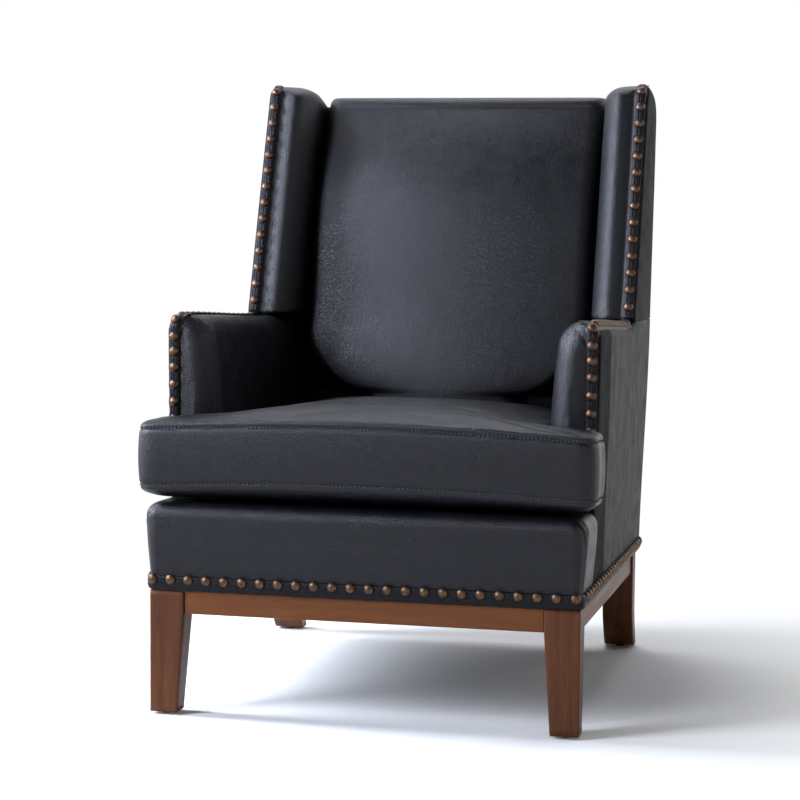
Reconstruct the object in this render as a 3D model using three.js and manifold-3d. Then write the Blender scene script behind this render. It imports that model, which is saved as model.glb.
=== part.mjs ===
// A wingback armchair with a loose T-shaped seat cushion, nailhead trim and a walnut-stained base.
// Millimetres, +Z up, the sitter faces -Y. The origin is on the floor, in the middle of the overall box.
import * as THREE from "three";
import { mergeVertices } from "three/addons/utils/BufferGeometryUtils.js";
import Module from "manifold-3d";

const wasm = await Module();
wasm.setup();

// Overall sizes
const overallWidth = 742;
const overallDepth = 860;
const overallHeight = 1026;

// Clearances
const fitGap = 0.4; // between pieces that touch
const cushionClearance = 4; // round the loose cushion
const seamGap = 1; // between two covered panels that follow a curve
const coreClearance = 3; // between the cushion's core and its cover
const cutOverrun = 20; // how far a cutting body runs past what it cuts

// The base's top, the seat, the arms and the back fall towards the rear by this share of the depth.
// Their heights below are given at the front of the body, before that fall.
const pitchShare = 0.028;

// Wooden base
const woodTop = 200;
const legInset = 2; // leg's outer face inside the upholstery above it
const legSetback = 14; // cushion front to leg front
const backLegSetback = 129; // rear of the chair to the back foot's front face
const legEase = 2.5; // eased long edges
const frontLegWidth = 56;
const frontLegFootWidth = 45;
const frontLegDepth = 50;
const frontLegFootDepth = 38;
const backLegWidth = 54.5;
const backLegDepth = 40;
const backLegFootDepth = 31;
const backLegSweep = 38; // how far the foot's front face sweeps back
const backLegBend = 90; // height at which the sweep starts
const baseRailHeight = 37;
const baseRailThickness = 22;
const baseRailInset = 4; // rail face behind the leg face
const tenonLength = 16;
const tenonThickness = 10;
const tenonShoulder = 5;
const glideRadius = 9;
const glideFootRadius = 7;
const glideHeight = 4;
const blockLeg = 62; // corner block, measured along each rail
const blockHeight = 24;
const blockDrop = 6; // block's top below the wood's top
const boltRadius = 4;
const boltReach = 18; // bolt's bite into the leg
const boltTail = 13; // bolt beyond the block
const nutRadius = 8;
const nutHeight = 7;
const boltClearance = 0.5;

// Seat frame, springs and deck
const seatRailThickness = 24;
const seatRailTop = 296;
const seatRailInset = 8; // rail's outer face inside the upholstered face
const springCount = 5;
const springWireRadius = 2;
const springWaves = 8;
const springAmplitude = 24;
const springArch = 8;
const springSideMargin = 62;
const deckThickness = 26;
const deckCrown = 2;
const deckCornerRadius = 6;
const dustCoverThickness = 1.2;
const dustCoverMargin = 9;

// Upholstered body
const bodyInset = 18.5; // side of the arms and wings inside the cushion's forward ends
const bodyFlare = 7.5; // how much each side widens from the wood to the arms
const bodyWidening = 400; // height over which it widens
const panelThickness = 8;
const panelEdgeRadius = 6;
const hemRadius = 1; // folded hems and other tight edges
const rearLean = 97; // rear top behind the rear foot of the upholstery
const borderTop = 339;
const borderProud = 1.5; // front border ahead of the legs
const borderSwell = 6;
const borderRadius = 20;
const borderCornerRadius = 12;
const borderWall = 11;

// Arms
const armFront = 127; // cushion front to arm front
const armThickness = 79.5; // inner face to the panelled outer face
const armTopFront = 635;
const armTopRear = 625;
const armInnerRadius = 36;
const armOuterRadius = 9;
const armPanelDrop = 3; // outside panel's top edge below the arm's top
const armFrontRadius = 15;
const armSwell = 3;
const armFloor = 304;
const armWall = 26;
const frameBoard = 30;
const framePost = 48;

// Wings
const wingDepth = 288; // from the front face at the wing's floor to the rear of the chair
const wingRake = 148; // how far the front face leans back, up to its top
const wingThickness = 84.5;
const wingInnerRadius = 34;
const wingOuterRadius = 4;
const wingTopRadius = 24;
const wingRearDrop = 22; // rear top below the front top
const wingWall = 24;

// Back
const backPadGap = 4; // between the inside back and each wing
const backPadDrop = 15.5; // inside back's top below the wings' tops
const backPadCrown = 26;
const backPadEdge = 30;
const backEdgeShare = 0.7; // most of the pad's depth that its side rounding takes
const backPadTopRadius = 34;
const backCornerWidth = 100; // lower corners drawn in by this much
const backCornerHeight = 125;
const backCornerStart = 613;
const backShoulderDepth = 50; // the drawn-in corners lie this far behind the face's edge
const backDepth = 263; // inside back's most forward side edge to the rear of the chair
const backRake = 194; // how far its top leans behind that
const backHeightShares = [0, 0.22, 0.45, 0.75, 1];
const backRakeShares = [0.06, 0, 0.26, 0.54, 0.98];
const backMiddleShares = [0.6, 0.3, 0]; // points across the face, from the edge to the middle
const backPocketDepth = 46;
const backPocketMargin = 34;
const backPostWidth = 42;
const backPostDepth = 32;
const backRailHeight = 44;
const webbingWidth = 50;
const webbingThickness = 2;
const webbingHeightShares = [0.3, 0.5, 0.7];

// Seat cushion
const cushionFloor = 340.5;
const cushionLowerSeam = 363;
const cushionUpperSeam = 457;
const cushionTop = 488;
const cushionSeamLift = 12; // front seams rise in the middle
const cushionSideDraw = 5; // sides drawn in between the corners
const cushionBulge = 5; // boxing swells between its seams
const cushionFrontCorner = 34;
const cushionCorner = 24;
const cushionWall = 9;
const zipSlot = 10;
const cushionRidge = 2.5; // half of what stays level along each forward end
const cushionCrownShares = [0, 0.1, 0.28, 0.56, 0.9];
const cushionCoreShares = [0, 0.4, 0.9];
const cushionDomeShares = [0.66, 0.33]; // rings between the crown's edge and its middle
const cushionEndDropShare = 0.4; // crown lost at the two forward ends
const cushionRearDropShare = 0.42; // crown lost at the rear edge

// Nailhead trim
const bandWidth = 20;
const baseBandWidth = 24;
const baseNailRise = 17; // nails' middle above the base band's lower edge
const bandThickness = 2.5;
const bandEndGap = 4; // between a band's end and the piece it stops at
const nailRadius = 7.2;
const nailHeight = 4.2;
const nailShoulderShares = [0.76, 0.7]; // the dome's shoulder, of its radius and of its height
const nailSides = 6;
const baseNailPitch = 29.2;
const armNailPitch = 28;
const armFirstNail = 36.5;
const wingNailPitch = 31.4;
const armBandInset = 3.5; // band's outer edge inside the panelled outer face
const wingBandInset = 2.5;

// How far the pitched body has fallen at a depth.
function fall(y) {
  return pitchShare * (y - bodyFrontY);
}

// Places worked out from the sizes above
const frontY = -overallDepth / 2;
const rearY = overallDepth / 2;
const legFrontY = frontY + legSetback;
const bodyWidth = overallWidth - 2 * bodyInset;
const bodyBaseWidth = bodyWidth - 2 * bodyFlare;
const legFrameWidth = bodyBaseWidth - 2 * legInset;
const legTop = woodTop - fitGap;
const railFloor = woodTop - baseRailHeight;
const backLegFootY = rearY - backLegSetback;
const backLegTopY = backLegFootY - backLegSweep;
const bodyFloor = woodTop + fitGap;
const bodyFrontY = legFrontY - borderProud;
const armFrontY = frontY + armFront;
const armInnerX = bodyWidth / 2 - armThickness;
const wingFrontY = rearY - wingDepth;
const wingFloor = armTopRear + seamGap;
const wingInnerX = bodyWidth / 2 - wingThickness;
const wingTop = overallHeight + fall(wingFrontY + wingRake + wingTopRadius);
const rearTopHeight = wingTop - wingRearDrop - wingTopRadius / 3;
const rearSlope = rearLean / (rearTopHeight - woodTop);
const nailReach = bandThickness + nailHeight;
const backPadFloor = borderTop + fitGap;
const backPadTop = wingTop - backPadDrop;
const backPadWidth = 2 * (wingInnerX - backPadGap);
const backFaceY = rearY - backDepth;

// Blend from 0 to 1 with level ends.
function smooth(t) {
  const s = THREE.MathUtils.clamp(t, 0, 1);
  return s * s * (3 - 2 * s);
}

// The upholstered side's outer face at a height.
function outerX(z) {
  return bodyBaseWidth / 2 + ((bodyWidth - bodyBaseWidth) / 2) * smooth((z - woodTop) / bodyWidening);
}

// The upholstered rear face at a height.
function rearFaceY(z) {
  return rearY - rearSlope * (rearTopHeight - Math.min(z, rearTopHeight));
}

// The arm pad's rear end at the arm's top, and the rear of the pocket that holds its frame.
const armRearY = rearFaceY(armTopRear) - panelThickness - fitGap;
const armPocketRearY = rearFaceY(armFloor) - panelThickness - fitGap - armWall;

// The arm's top at a depth: it falls from the front to the wing and runs level under it.
function armTopZ(y) {
  const t = (y - armFrontY) / (wingFrontY - armFrontY);
  return armTopFront - (armTopFront - armTopRear) * smooth(t);
}

// The wing's straight raked front edge.
function wingFaceY(z) {
  return wingFrontY + (wingRake * (z - wingFloor)) / (wingTop - wingFloor);
}

// Solids as meshes

// Turns a geometry into one indexed surface that faces outwards.
function closed(geometry) {
  const plain = new THREE.BufferGeometry();
  const source = geometry.index ? geometry.toNonIndexed() : geometry;
  plain.setAttribute("position", source.getAttribute("position").clone());
  const merged = mergeVertices(plain, 1e-3);
  const p = merged.getAttribute("position");
  const index = merged.index.array;
  const [a, b, c] = [new THREE.Vector3(), new THREE.Vector3(), new THREE.Vector3()];
  let volume = 0;
  for (let i = 0; i < index.length; i += 3) {
    a.fromBufferAttribute(p, index[i]);
    b.fromBufferAttribute(p, index[i + 1]);
    c.fromBufferAttribute(p, index[i + 2]);
    volume += a.dot(b.cross(c));
  }
  if (volume < 0) {
    for (let i = 0; i < index.length; i += 3) {
      [index[i + 1], index[i + 2]] = [index[i + 2], index[i + 1]];
    }
  }
  return merged;
}

// The same geometry with the body's fall towards the rear.
function pitched(geometry) {
  const shear = new THREE.Matrix4().makeShear(0, 0, 0, -pitchShare, 0, 0);
  return geometry.clone().applyMatrix4(shear).translate(0, 0, pitchShare * bodyFrontY);
}

// The same geometry let down by the fall at one depth, unchanged in form.
function lowered(geometry, y) {
  return geometry.clone().translate(0, 0, -fall(y));
}

// The same geometry on the other side of the chair.
function mirrored(geometry) {
  return closed(geometry.clone().applyMatrix4(new THREE.Matrix4().makeScale(-1, 1, 1)));
}

function toSolid(geometry) {
  const merged = closed(geometry);
  return new wasm.Manifold(
    new wasm.Mesh({
      numProp: 3,
      vertProperties: merged.getAttribute("position").array,
      triVerts: new Uint32Array(merged.index.array),
    }),
  );
}

function toGeometry(solid) {
  const mesh = solid.getMesh();
  return new THREE.BufferGeometry()
    .setAttribute("position", new THREE.BufferAttribute(new Float32Array(mesh.vertProperties), 3))
    .setIndex(new THREE.BufferAttribute(new Uint32Array(mesh.triVerts), 1));
}

function cut(geometry, ...tools) {
  return toGeometry(tools.reduce((solid, tool) => solid.subtract(toSolid(tool)), toSolid(geometry)));
}

function join(geometry, ...others) {
  return toGeometry(others.reduce((solid, other) => solid.add(toSolid(other)), toSolid(geometry)));
}

// A closed solid through rings of points with equal counts, each end closed by a fan from its middle,
// or from middleY where an outline such as a T can't be seen whole from its middle.
function loft(rings, middleY) {
  const count = rings[0].length;
  const points = rings.flat();
  const index = [];
  for (let r = 0; r + 1 < rings.length; r++) {
    for (let i = 0; i < count; i++) {
      const [a, b] = [r * count + i, r * count + ((i + 1) % count)];
      index.push(a, b, b + count, a, b + count, a + count);
    }
  }
  [0, rings.length - 1].forEach((r) => {
    const middle = points.length;
    const centre = new THREE.Vector3();
    rings[r].forEach((p) => centre.addScaledVector(p, 1 / count));
    centre.y = middleY ?? centre.y;
    points.push(centre);
    for (let i = 0; i < count; i++) {
      const [a, b] = [r * count + i, r * count + ((i + 1) % count)];
      index.push(...(r === 0 ? [b, a, middle] : [a, b, middle]));
    }
  });
  const geometry = new THREE.BufferGeometry().setFromPoints(points);
  geometry.setIndex(index);
  return closed(geometry);
}

// Points round a rectangle with a radius at each corner: (u0,v0), (u1,v0), (u1,v1), (u0,v1).
function roundedRing(u0, v0, u1, v1, radii, steps) {
  const corners = [
    [u0, v0, 1, 1, Math.PI],
    [u1, v0, -1, 1, 1.5 * Math.PI],
    [u1, v1, -1, -1, 0],
    [u0, v1, 1, -1, 0.5 * Math.PI],
  ];
  return corners.flatMap(([u, v, du, dv, from], k) =>
    Array.from({ length: steps + 1 }, (_, i) => {
      const angle = from + (i * Math.PI) / 2 / steps;
      const r = radii[k];
      return new THREE.Vector2(u + du * r + r * Math.cos(angle), v + dv * r + r * Math.sin(angle));
    }),
  );
}

// How far a rounded edge is drawn in, and how deep that is, in steps round a quarter circle.
function edgeSteps(radius, steps) {
  return Array.from({ length: steps + 1 }, (_, i) => {
    const angle = (i * Math.PI) / 2 / steps;
    return { inset: radius * (1 - Math.sin(angle)), depth: radius * (1 - Math.cos(angle)) };
  });
}

function box(x0, x1, y0, y1, z0, z1) {
  return new THREE.BoxGeometry(x1 - x0, y1 - y0, z1 - z0).translate(
    (x0 + x1) / 2,
    (y0 + y1) / 2,
    (z0 + z1) / 2,
  );
}

// Turns a drawing in the Y-Z plane and its thickness into the chair's axes.
const sideBasis = new THREE.Matrix4().makeBasis(
  new THREE.Vector3(0, 1, 0),
  new THREE.Vector3(0, 0, 1),
  new THREE.Vector3(1, 0, 0),
);

// An outline in the Y-Z plane, carried along X.
function sidePlate(outline, x0, x1) {
  const shape = new THREE.Shape(outline.map(([y, z]) => new THREE.Vector2(y, z)));
  const geometry = new THREE.ExtrudeGeometry(shape, { depth: x1 - x0, bevelEnabled: false });
  return closed(geometry.applyMatrix4(sideBasis).translate(x0, 0, 0));
}

// Wooden base

// A rectangle with eased corners at one height.
function legRing(x0, x1, y0, y1, z) {
  const radii = [legEase, legEase, legEase, legEase];
  return roundedRing(x0, y0, x1, y1, radii, 1).map((p) => new THREE.Vector3(p.x, p.y, z));
}

function frontLeg() {
  const outer = legFrameWidth / 2;
  const ring = (z, width, depth) => legRing(outer - width, outer, legFrontY, legFrontY + depth, z);
  return loft([
    ring(glideHeight + fitGap, frontLegFootWidth, frontLegFootDepth),
    ring(railFloor, frontLegWidth, frontLegDepth),
    ring(legTop, frontLegWidth, frontLegDepth),
  ]);
}

// The back leg stands straight below the rail, then sweeps backwards to its foot.
function backLeg() {
  const outer = legFrameWidth / 2;
  const steps = 6;
  const rings = [];
  for (let i = 0; i <= steps; i++) {
    const t = i / steps;
    const z = glideHeight + fitGap + (backLegBend - glideHeight - fitGap) * t;
    const swept = (1 - t) ** 2;
    const y = backLegTopY + backLegSweep * swept;
    const depth = backLegDepth + (backLegFootDepth - backLegDepth) * swept;
    rings.push(legRing(outer - backLegWidth, outer, y, y + depth, z));
  }
  rings.push(legRing(outer - backLegWidth, outer, backLegTopY, backLegTopY + backLegDepth, legTop));
  return loft(rings);
}

const railOuterX = legFrameWidth / 2 - baseRailInset;
const railInnerX = railOuterX - baseRailThickness;
const frontRailY = legFrontY + baseRailInset;
const backRailY = backLegTopY + backLegDepth - baseRailInset - baseRailThickness;
const tenonInset = (baseRailThickness - tenonThickness) / 2;

// A rail and its tenons, or with a clearance the mortises that take them.
function crossTenons(halfSpan, y, grow) {
  return box(
    -halfSpan - tenonLength - grow,
    halfSpan + tenonLength + grow,
    y + tenonInset - grow,
    y + baseRailThickness - tenonInset + grow,
    railFloor + tenonShoulder - grow,
    legTop - tenonShoulder + grow,
  );
}

function sideTenons(grow) {
  return box(
    railInnerX + tenonInset - grow,
    railOuterX - tenonInset + grow,
    legFrontY + frontLegDepth - tenonLength - grow,
    backLegTopY + tenonLength + grow,
    railFloor + tenonShoulder - grow,
    legTop - tenonShoulder + grow,
  );
}

function crossRail(halfSpan, y) {
  const span = halfSpan - fitGap;
  return join(
    box(-span, span, y, y + baseRailThickness, railFloor, legTop),
    crossTenons(halfSpan, y, 0),
  );
}

function sideRail() {
  const from = legFrontY + frontLegDepth + fitGap;
  const to = backLegTopY - fitGap;
  return join(box(railInnerX, railOuterX, from, to, railFloor, legTop), sideTenons(0));
}

const frontSpan = legFrameWidth / 2 - frontLegWidth;
const backSpan = legFrameWidth / 2 - backLegWidth;

// The corner block fills the inner corner between two rails; its bolt runs along the diagonal.
function cornerBlock(railY, towards) {
  const x = railInnerX - fitGap;
  const y = railY;
  const clip = blockLeg / 4;
  const shape = new THREE.Shape([
    new THREE.Vector2(x - clip, y + towards * blockLeg),
    new THREE.Vector2(x, y + towards * blockLeg),
    new THREE.Vector2(x, y + towards * clip * 2),
    new THREE.Vector2(x - clip * 2, y),
    new THREE.Vector2(x - blockLeg, y),
    new THREE.Vector2(x - blockLeg, y + towards * clip),
  ]);
  const geometry = new THREE.ExtrudeGeometry(shape, { depth: blockHeight, bevelEnabled: false });
  return closed(geometry.translate(0, 0, woodTop - blockDrop - blockHeight));
}

// A cylinder along the diagonal from the leg to the middle of the chair.
function diagonalRod(radius, railY, towards, from, to, sides) {
  const length = to - from;
  const rod = new THREE.CylinderGeometry(radius, radius, length, sides);
  rod.rotateX(Math.PI / 2).translate(0, 0, from + length / 2);
  rod.rotateX(-Math.PI / 2).rotateZ(towards > 0 ? Math.PI / 4 : (Math.PI * 3) / 4);
  const z = woodTop - blockDrop - blockHeight / 2;
  return closed(rod.translate(railInnerX, railY, z));
}

const diagonal = Math.SQRT1_2;
const blockFace = (blockLeg + blockLeg / 4) * diagonal;

function legBolt(railY, towards, legCorner) {
  const rod = diagonalRod(boltRadius, railY, towards, legCorner - boltReach, blockFace + boltTail, 10);
  const nut = diagonalRod(
    nutRadius,
    railY,
    towards,
    blockFace + fitGap,
    blockFace + fitGap + nutHeight,
    6,
  );
  return join(rod, nut);
}

function boltHole(railY, towards, legCorner) {
  const from = legCorner - boltReach - boltClearance;
  const radius = boltRadius + boltClearance;
  return diagonalRod(radius, railY, towards, from, blockFace + cutOverrun, 10);
}

function glide(x, y) {
  const profile = [
    new THREE.Vector2(0, 0),
    new THREE.Vector2(glideFootRadius, 0),
    new THREE.Vector2(glideRadius, glideHeight / 2),
    new THREE.Vector2(glideRadius, glideHeight),
    new THREE.Vector2(0, glideHeight),
  ];
  return closed(new THREE.LatheGeometry(profile, 12).rotateX(Math.PI / 2).translate(x, y, 0));
}

// Seat frame, springs, deck and dust cover

const seatRailFrontY = bodyFrontY + seatRailInset;
const seatRailRearY = rearFaceY(bodyFloor) - panelThickness - fitGap;
const seatRailX = bodyBaseWidth / 2 - seatRailInset - fitGap;
const seatSpanFront = seatRailFrontY + seatRailThickness + fitGap;
const seatSpanRear = seatRailRearY - seatRailThickness - fitGap;

// A wire bent to and fro across its run, from the front rail to the back rail.
function seatSpring(x) {
  const from = seatSpanFront + springWireRadius;
  const to = seatSpanRear - springWireRadius;
  const lead = springWireRadius * 4;
  const endZ = seatRailTop - springWireRadius * 5 - springArch;
  const halfWaves = springWaves * 2;
  const points = [new THREE.Vector3(x, from, endZ), new THREE.Vector3(x, from + lead, endZ)];
  for (let i = 0; i < halfWaves; i++) {
    const t = (i + 1) / (halfWaves + 1);
    const side = i % 2 ? -1 : 1;
    const z = seatRailTop - springWireRadius * 5 + springArch * Math.sin(Math.PI * t) - springArch;
    points.push(new THREE.Vector3(x + side * springAmplitude, from + (to - from) * t, z));
  }
  points.push(new THREE.Vector3(x, to - lead, endZ), new THREE.Vector3(x, to, endZ));
  const path = new THREE.CatmullRomCurve3(points, false, "centripetal");
  const wire = new THREE.Shape(
    Array.from({ length: 4 }, (_, i) => {
      const angle = (i * Math.PI) / 2;
      return new THREE.Vector2(springWireRadius * Math.cos(angle), springWireRadius * Math.sin(angle));
    }),
  );
  const steps = springWaves * 6;
  return closed(new THREE.ExtrudeGeometry(wire, { steps, extrudePath: path, bevelEnabled: false }));
}

const deckHalf = armInnerX - armSwell - fitGap;
const deckFloor = borderTop - deckThickness;
const deckRearY = seatSpanRear - fitGap;

// A flat pad over the springs, slightly crowned, between the arms.
function deckPad() {
  const y0 = armFrontY + fitGap;
  const ring = (z, inset) =>
    roundedRing(
      -deckHalf + inset,
      y0 + inset,
      deckHalf - inset,
      deckRearY - inset,
      [deckCornerRadius, deckCornerRadius, deckCornerRadius, deckCornerRadius],
      2,
    ).map((p) => new THREE.Vector3(p.x, p.y, z));
  return loft([
    ring(deckFloor, 0),
    ring(borderTop - deckCrown * 2, 0),
    ring(borderTop - deckCrown, deckCrown * 2),
    ring(borderTop, deckHalf / 3),
  ]);
}

// Front border: a padded shell over the front seat rail, open at the rear.
function frontBorder() {
  const rearEdge = armFrontY - fitGap;
  const ring = (z, swell, inset) =>
    roundedRing(
      -outerX(z) - swell / 2 + inset,
      bodyFrontY - swell + inset,
      outerX(z) + swell / 2 - inset,
      rearEdge,
      [borderCornerRadius, borderCornerRadius, hemRadius, hemRadius],
      4,
    ).map((p) => new THREE.Vector3(p.x, p.y, z));
  const rings = [];
  const bandTop = bodyFloor + baseBandWidth;
  rings.push(ring(bodyFloor, 0, 0), ring(bandTop, 0, 0));
  const bellySteps = 4;
  const shoulder = borderTop - borderRadius;
  for (let i = 1; i <= bellySteps; i++) {
    const t = i / bellySteps;
    rings.push(ring(bandTop + (shoulder - bandTop) * t, borderSwell * Math.sin((Math.PI / 2) * t), 0));
  }
  edgeSteps(borderRadius, 4)
    .reverse()
    .slice(1)
    .forEach((e) => rings.push(ring(borderTop - e.depth, borderSwell, e.inset)));
  const pocket = box(
    -bodyBaseWidth / 2 + seatRailInset,
    bodyBaseWidth / 2 - seatRailInset,
    seatRailFrontY - fitGap,
    rearEdge + cutOverrun,
    bodyFloor - cutOverrun,
    borderTop - borderWall,
  );
  return cut(loft(rings), pocket);
}

// Arms

// The rear of what stands against the inside of the outside back.
function rearInnerY(z) {
  return rearFaceY(z) - panelThickness - fitGap;
}

// The arm's cross-section at a depth, its free edges drawn in by an inset; towards the rear it takes
// up the lean of the outside back.
function armRing(y, inset) {
  const top = armTopZ(y) - inset;
  const inner = armInnerX + inset;
  const outer = bodyWidth / 2 - panelThickness - fitGap;
  const radii = [hemRadius, hemRadius, armOuterRadius, armInnerRadius];
  const ring = roundedRing(inner, armFloor, outer, top, radii, 4);
  const back = Math.max(0, (y - armFrontY - armFrontRadius) / (armRearY - armFrontY - armFrontRadius));
  return ring.map((p) => {
    const t = THREE.MathUtils.clamp((p.y - armFloor) / (top - armFloor), 0, 1);
    const isOuter = p.x > (inner + outer) / 2;
    const shift = isOuter ? outerX(p.y) - bodyWidth / 2 : -armSwell * Math.sin(Math.PI * t);
    const lean = (rearInnerY(p.y) - armRearY) * back;
    return new THREE.Vector3(p.x + shift, y + lean, p.y);
  });
}

function armPad() {
  const rings = edgeSteps(armFrontRadius, 4).map((e) => armRing(armFrontY + e.depth, e.inset));
  const steps = 8;
  const from = armFrontY + armFrontRadius;
  for (let i = 1; i <= steps; i++) {
    rings.push(armRing(from + ((armRearY - from) * i) / steps, 0));
  }
  const pocket = box(
    armInnerX + armWall,
    bodyWidth / 2 + cutOverrun,
    armFrontY + armWall,
    armPocketRearY,
    armFloor - cutOverrun,
    armTopRear - armWall,
  );
  return cut(loft(rings), pocket);
}

// The arm's frame: a front post on the seat rail, a top rail and a rear stile.
function armFrame() {
  const x0 = armInnerX + armWall + fitGap;
  const y0 = armFrontY + armWall + fitGap;
  const y1 = armPocketRearY - fitGap;
  const z0 = seatRailTop + fitGap;
  const z1 = armTopRear - armWall - fitGap;
  const outline = [
    [y0, z0],
    [y0 + framePost, z0],
    [y0 + framePost, z1 - framePost],
    [y1 - framePost, z1 - framePost],
    [y1 - framePost, z0],
    [y1, z0],
    [y1, z1],
    [y0, z1],
  ];
  return sidePlate(outline, x0, x0 + frameBoard);
}

// A covered panel: a thin skin that follows the body's side, between a front and a rear edge.
function sidePanel(frontEdge, floor, top, steps) {
  const heights = Array.from({ length: steps + 1 }, (_, i) => floor + ((top - floor) * i) / steps);
  const ring = (z) => {
    const outer = outerX(z);
    const radii = [hemRadius, panelEdgeRadius, hemRadius, hemRadius];
    return roundedRing(outer - panelThickness, frontEdge(z), outer, rearFaceY(z), radii, 3).map(
      (p) => new THREE.Vector3(p.x, p.y, z),
    );
  };
  return loft(heights.map(ring));
}

// Outside arm panel, from the wood up to the arm's top and the wing's floor.
function outsideArmPanel() {
  const y0 = armFrontY + hemRadius;
  const skin = sidePanel(() => y0, bodyFloor, armTopFront, 10);
  const outline = [[frontY, armTopFront + cutOverrun]];
  outline.push([frontY, armTopFront - armFrontRadius - armPanelDrop]);
  edgeSteps(armFrontRadius, 4).forEach((e) => {
    outline.push([armFrontY + e.depth, armTopFront - e.inset - armPanelDrop]);
  });
  const from = armFrontY + armFrontRadius;
  const steps = 8;
  for (let i = 1; i <= steps; i++) {
    const y = from + ((wingFrontY - from) * i) / steps;
    outline.push([y, armTopZ(y) - armPanelDrop]);
  }
  outline.push([rearY + cutOverrun, armTopRear - armPanelDrop]);
  outline.push([rearY + cutOverrun, armTopFront + cutOverrun]);
  const above = sidePlate(outline, 0, bodyWidth);
  return cut(skin, above);
}

// Wings

// The wing's cross-section at a height, its top sloping down towards the rear.
function wingRing(x0, x1, radii, z, inset, lift, slope, rearCut) {
  const y0 = wingFaceY(z) + inset;
  const y1 = rearFaceY(z - slope) - rearCut;
  return roundedRing(x0 + inset, y0, x1, y1, radii, 4).map((p) => {
    const back = Math.max(0, (p.y - y0) / (y1 - y0));
    return new THREE.Vector3(p.x, p.y, z + lift - slope * back);
  });
}

function wingPad() {
  const x1 = bodyWidth / 2 - panelThickness - fitGap;
  const radii = [wingInnerRadius, wingOuterRadius, hemRadius, hemRadius];
  const ring = (z, inset, slope) =>
    wingRing(wingInnerX, x1, radii, z, inset, 0, slope, panelThickness + fitGap);
  const shoulder = wingTop - wingTopRadius;
  const steps = 4;
  const rings = [];
  for (let i = 0; i <= steps; i++) {
    const t = i / steps;
    rings.push(ring(wingFloor + (shoulder - wingFloor) * t, 0, wingRearDrop * t * t));
  }
  edgeSteps(wingTopRadius, 4)
    .reverse()
    .slice(1)
    .forEach((e) => rings.push(ring(wingTop - e.depth, e.inset, wingRearDrop)));
  const pocket = wingBoard(wingWall, wingInnerX + wingWall, bodyWidth / 2 + cutOverrun);
  return cut(loft(rings), pocket);
}

// A board inside the wing's outline, set in from it by a margin.
function wingBoard(margin, x0, x1) {
  const z0 = wingFloor + margin;
  const z1 = rearTopHeight - margin;
  const rearCut = panelThickness + margin;
  return sidePlate(
    [
      [wingFaceY(z0) + margin, z0],
      [rearFaceY(z0) - rearCut, z0],
      [rearFaceY(z1) - rearCut, z1],
      [wingFaceY(z1) + margin, z1],
    ],
    x0,
    x1,
  );
}

// Outside wing panel, level with the outside arm panel below it.
function outsideWingPanel() {
  const x1 = bodyWidth / 2;
  const x0 = x1 - panelThickness;
  const radii = [hemRadius, panelEdgeRadius, hemRadius, hemRadius];
  const ring = (z, slope, inset) => {
    const [y0, y1] = [wingFaceY(z) + inset, rearFaceY(z - slope)];
    return roundedRing(x0, y0, x1, y1, radii, 3).map((p) => {
      return new THREE.Vector3(p.x, p.y, z - (slope * (p.y - y0)) / (y1 - y0));
    });
  };
  const shoulder = wingTop - wingTopRadius;
  const steps = 4;
  const rings = [];
  for (let i = 0; i <= steps; i++) {
    const t = i / steps;
    rings.push(ring(wingFloor + (shoulder - wingFloor) * t, wingRearDrop * t * t, 0));
  }
  edgeSteps(wingTopRadius, 4)
    .reverse()
    .slice(1, 3)
    .forEach((e) => rings.push(ring(wingTop - e.depth, wingRearDrop, e.inset)));
  return loft(rings);
}

// Back

// The inside back at a height: its front face at the side edges, half its width and its crown.
function backRing(z, face, inset) {
  const low = THREE.MathUtils.clamp((backCornerStart - z) / backCornerHeight, 0, 1);
  const half = backPadWidth / 2 - backCornerWidth * (1 - Math.sqrt(1 - low * low)) - inset;
  const rise = (z - backPadFloor) / (backPadTop - backPadFloor);
  const crown = backPadCrown * Math.sqrt(Math.sin(Math.PI * THREE.MathUtils.clamp(rise, 0, 1)));
  const rear = rearInnerY(z);
  const edge = Math.min(backPadEdge, (rear - face - inset) * backEdgeShare);
  const wide = Math.max(backPadWidth / 2 - inset, half + hemRadius);
  const shoulderY = Math.min(face + inset + edge + backShoulderDepth, rear - hemRadius);
  const cornerSteps = 3;
  const corner = Array.from({ length: cornerSteps + 1 }, (_, i) => {
    const angle = (i * Math.PI) / 2 / cornerSteps;
    return [half - edge * (1 - Math.cos(angle)), face + inset + edge * (1 - Math.sin(angle))];
  });
  const middle = backMiddleShares.map((share) => [half * share, face + inset]);
  const right = [...corner, ...middle];
  const left = right.slice(0, -1).reverse().map(([x, y]) => [-x, y]);
  const front = [...right, ...left].map(([x, y]) => [x, y - crown * (1 - (x / half) ** 2)]);
  return [[wide, rear], [wide, shoulderY], ...front, [-wide, shoulderY], [-wide, rear]].map(
    ([x, y]) => new THREE.Vector3(x, y, z),
  );
}

function backPad() {
  const face = new THREE.SplineCurve(
    backHeightShares.map(
      (share, i) =>
        new THREE.Vector2(
          backPadFloor + (backPadTop - backPadTopRadius - backPadFloor) * share,
          backFaceY + backRake * backRakeShares[i],
        ),
    ),
  );
  const rings = face.getPoints(14).map((p) => backRing(p.x, p.y, 0));
  const shoulder = face.getPoint(1);
  edgeSteps(backPadTopRadius, 4)
    .reverse()
    .slice(1)
    .forEach((e) => {
      rings.push(backRing(backPadTop - e.depth, shoulder.y, e.inset));
    });
  const pocket = slantedBar(
    backPocketHalf,
    backPocketFloor,
    backPocketTop,
    -cutOverrun,
    backPocketDepth,
  );
  return cut(loft(rings), pocket);
}

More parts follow.
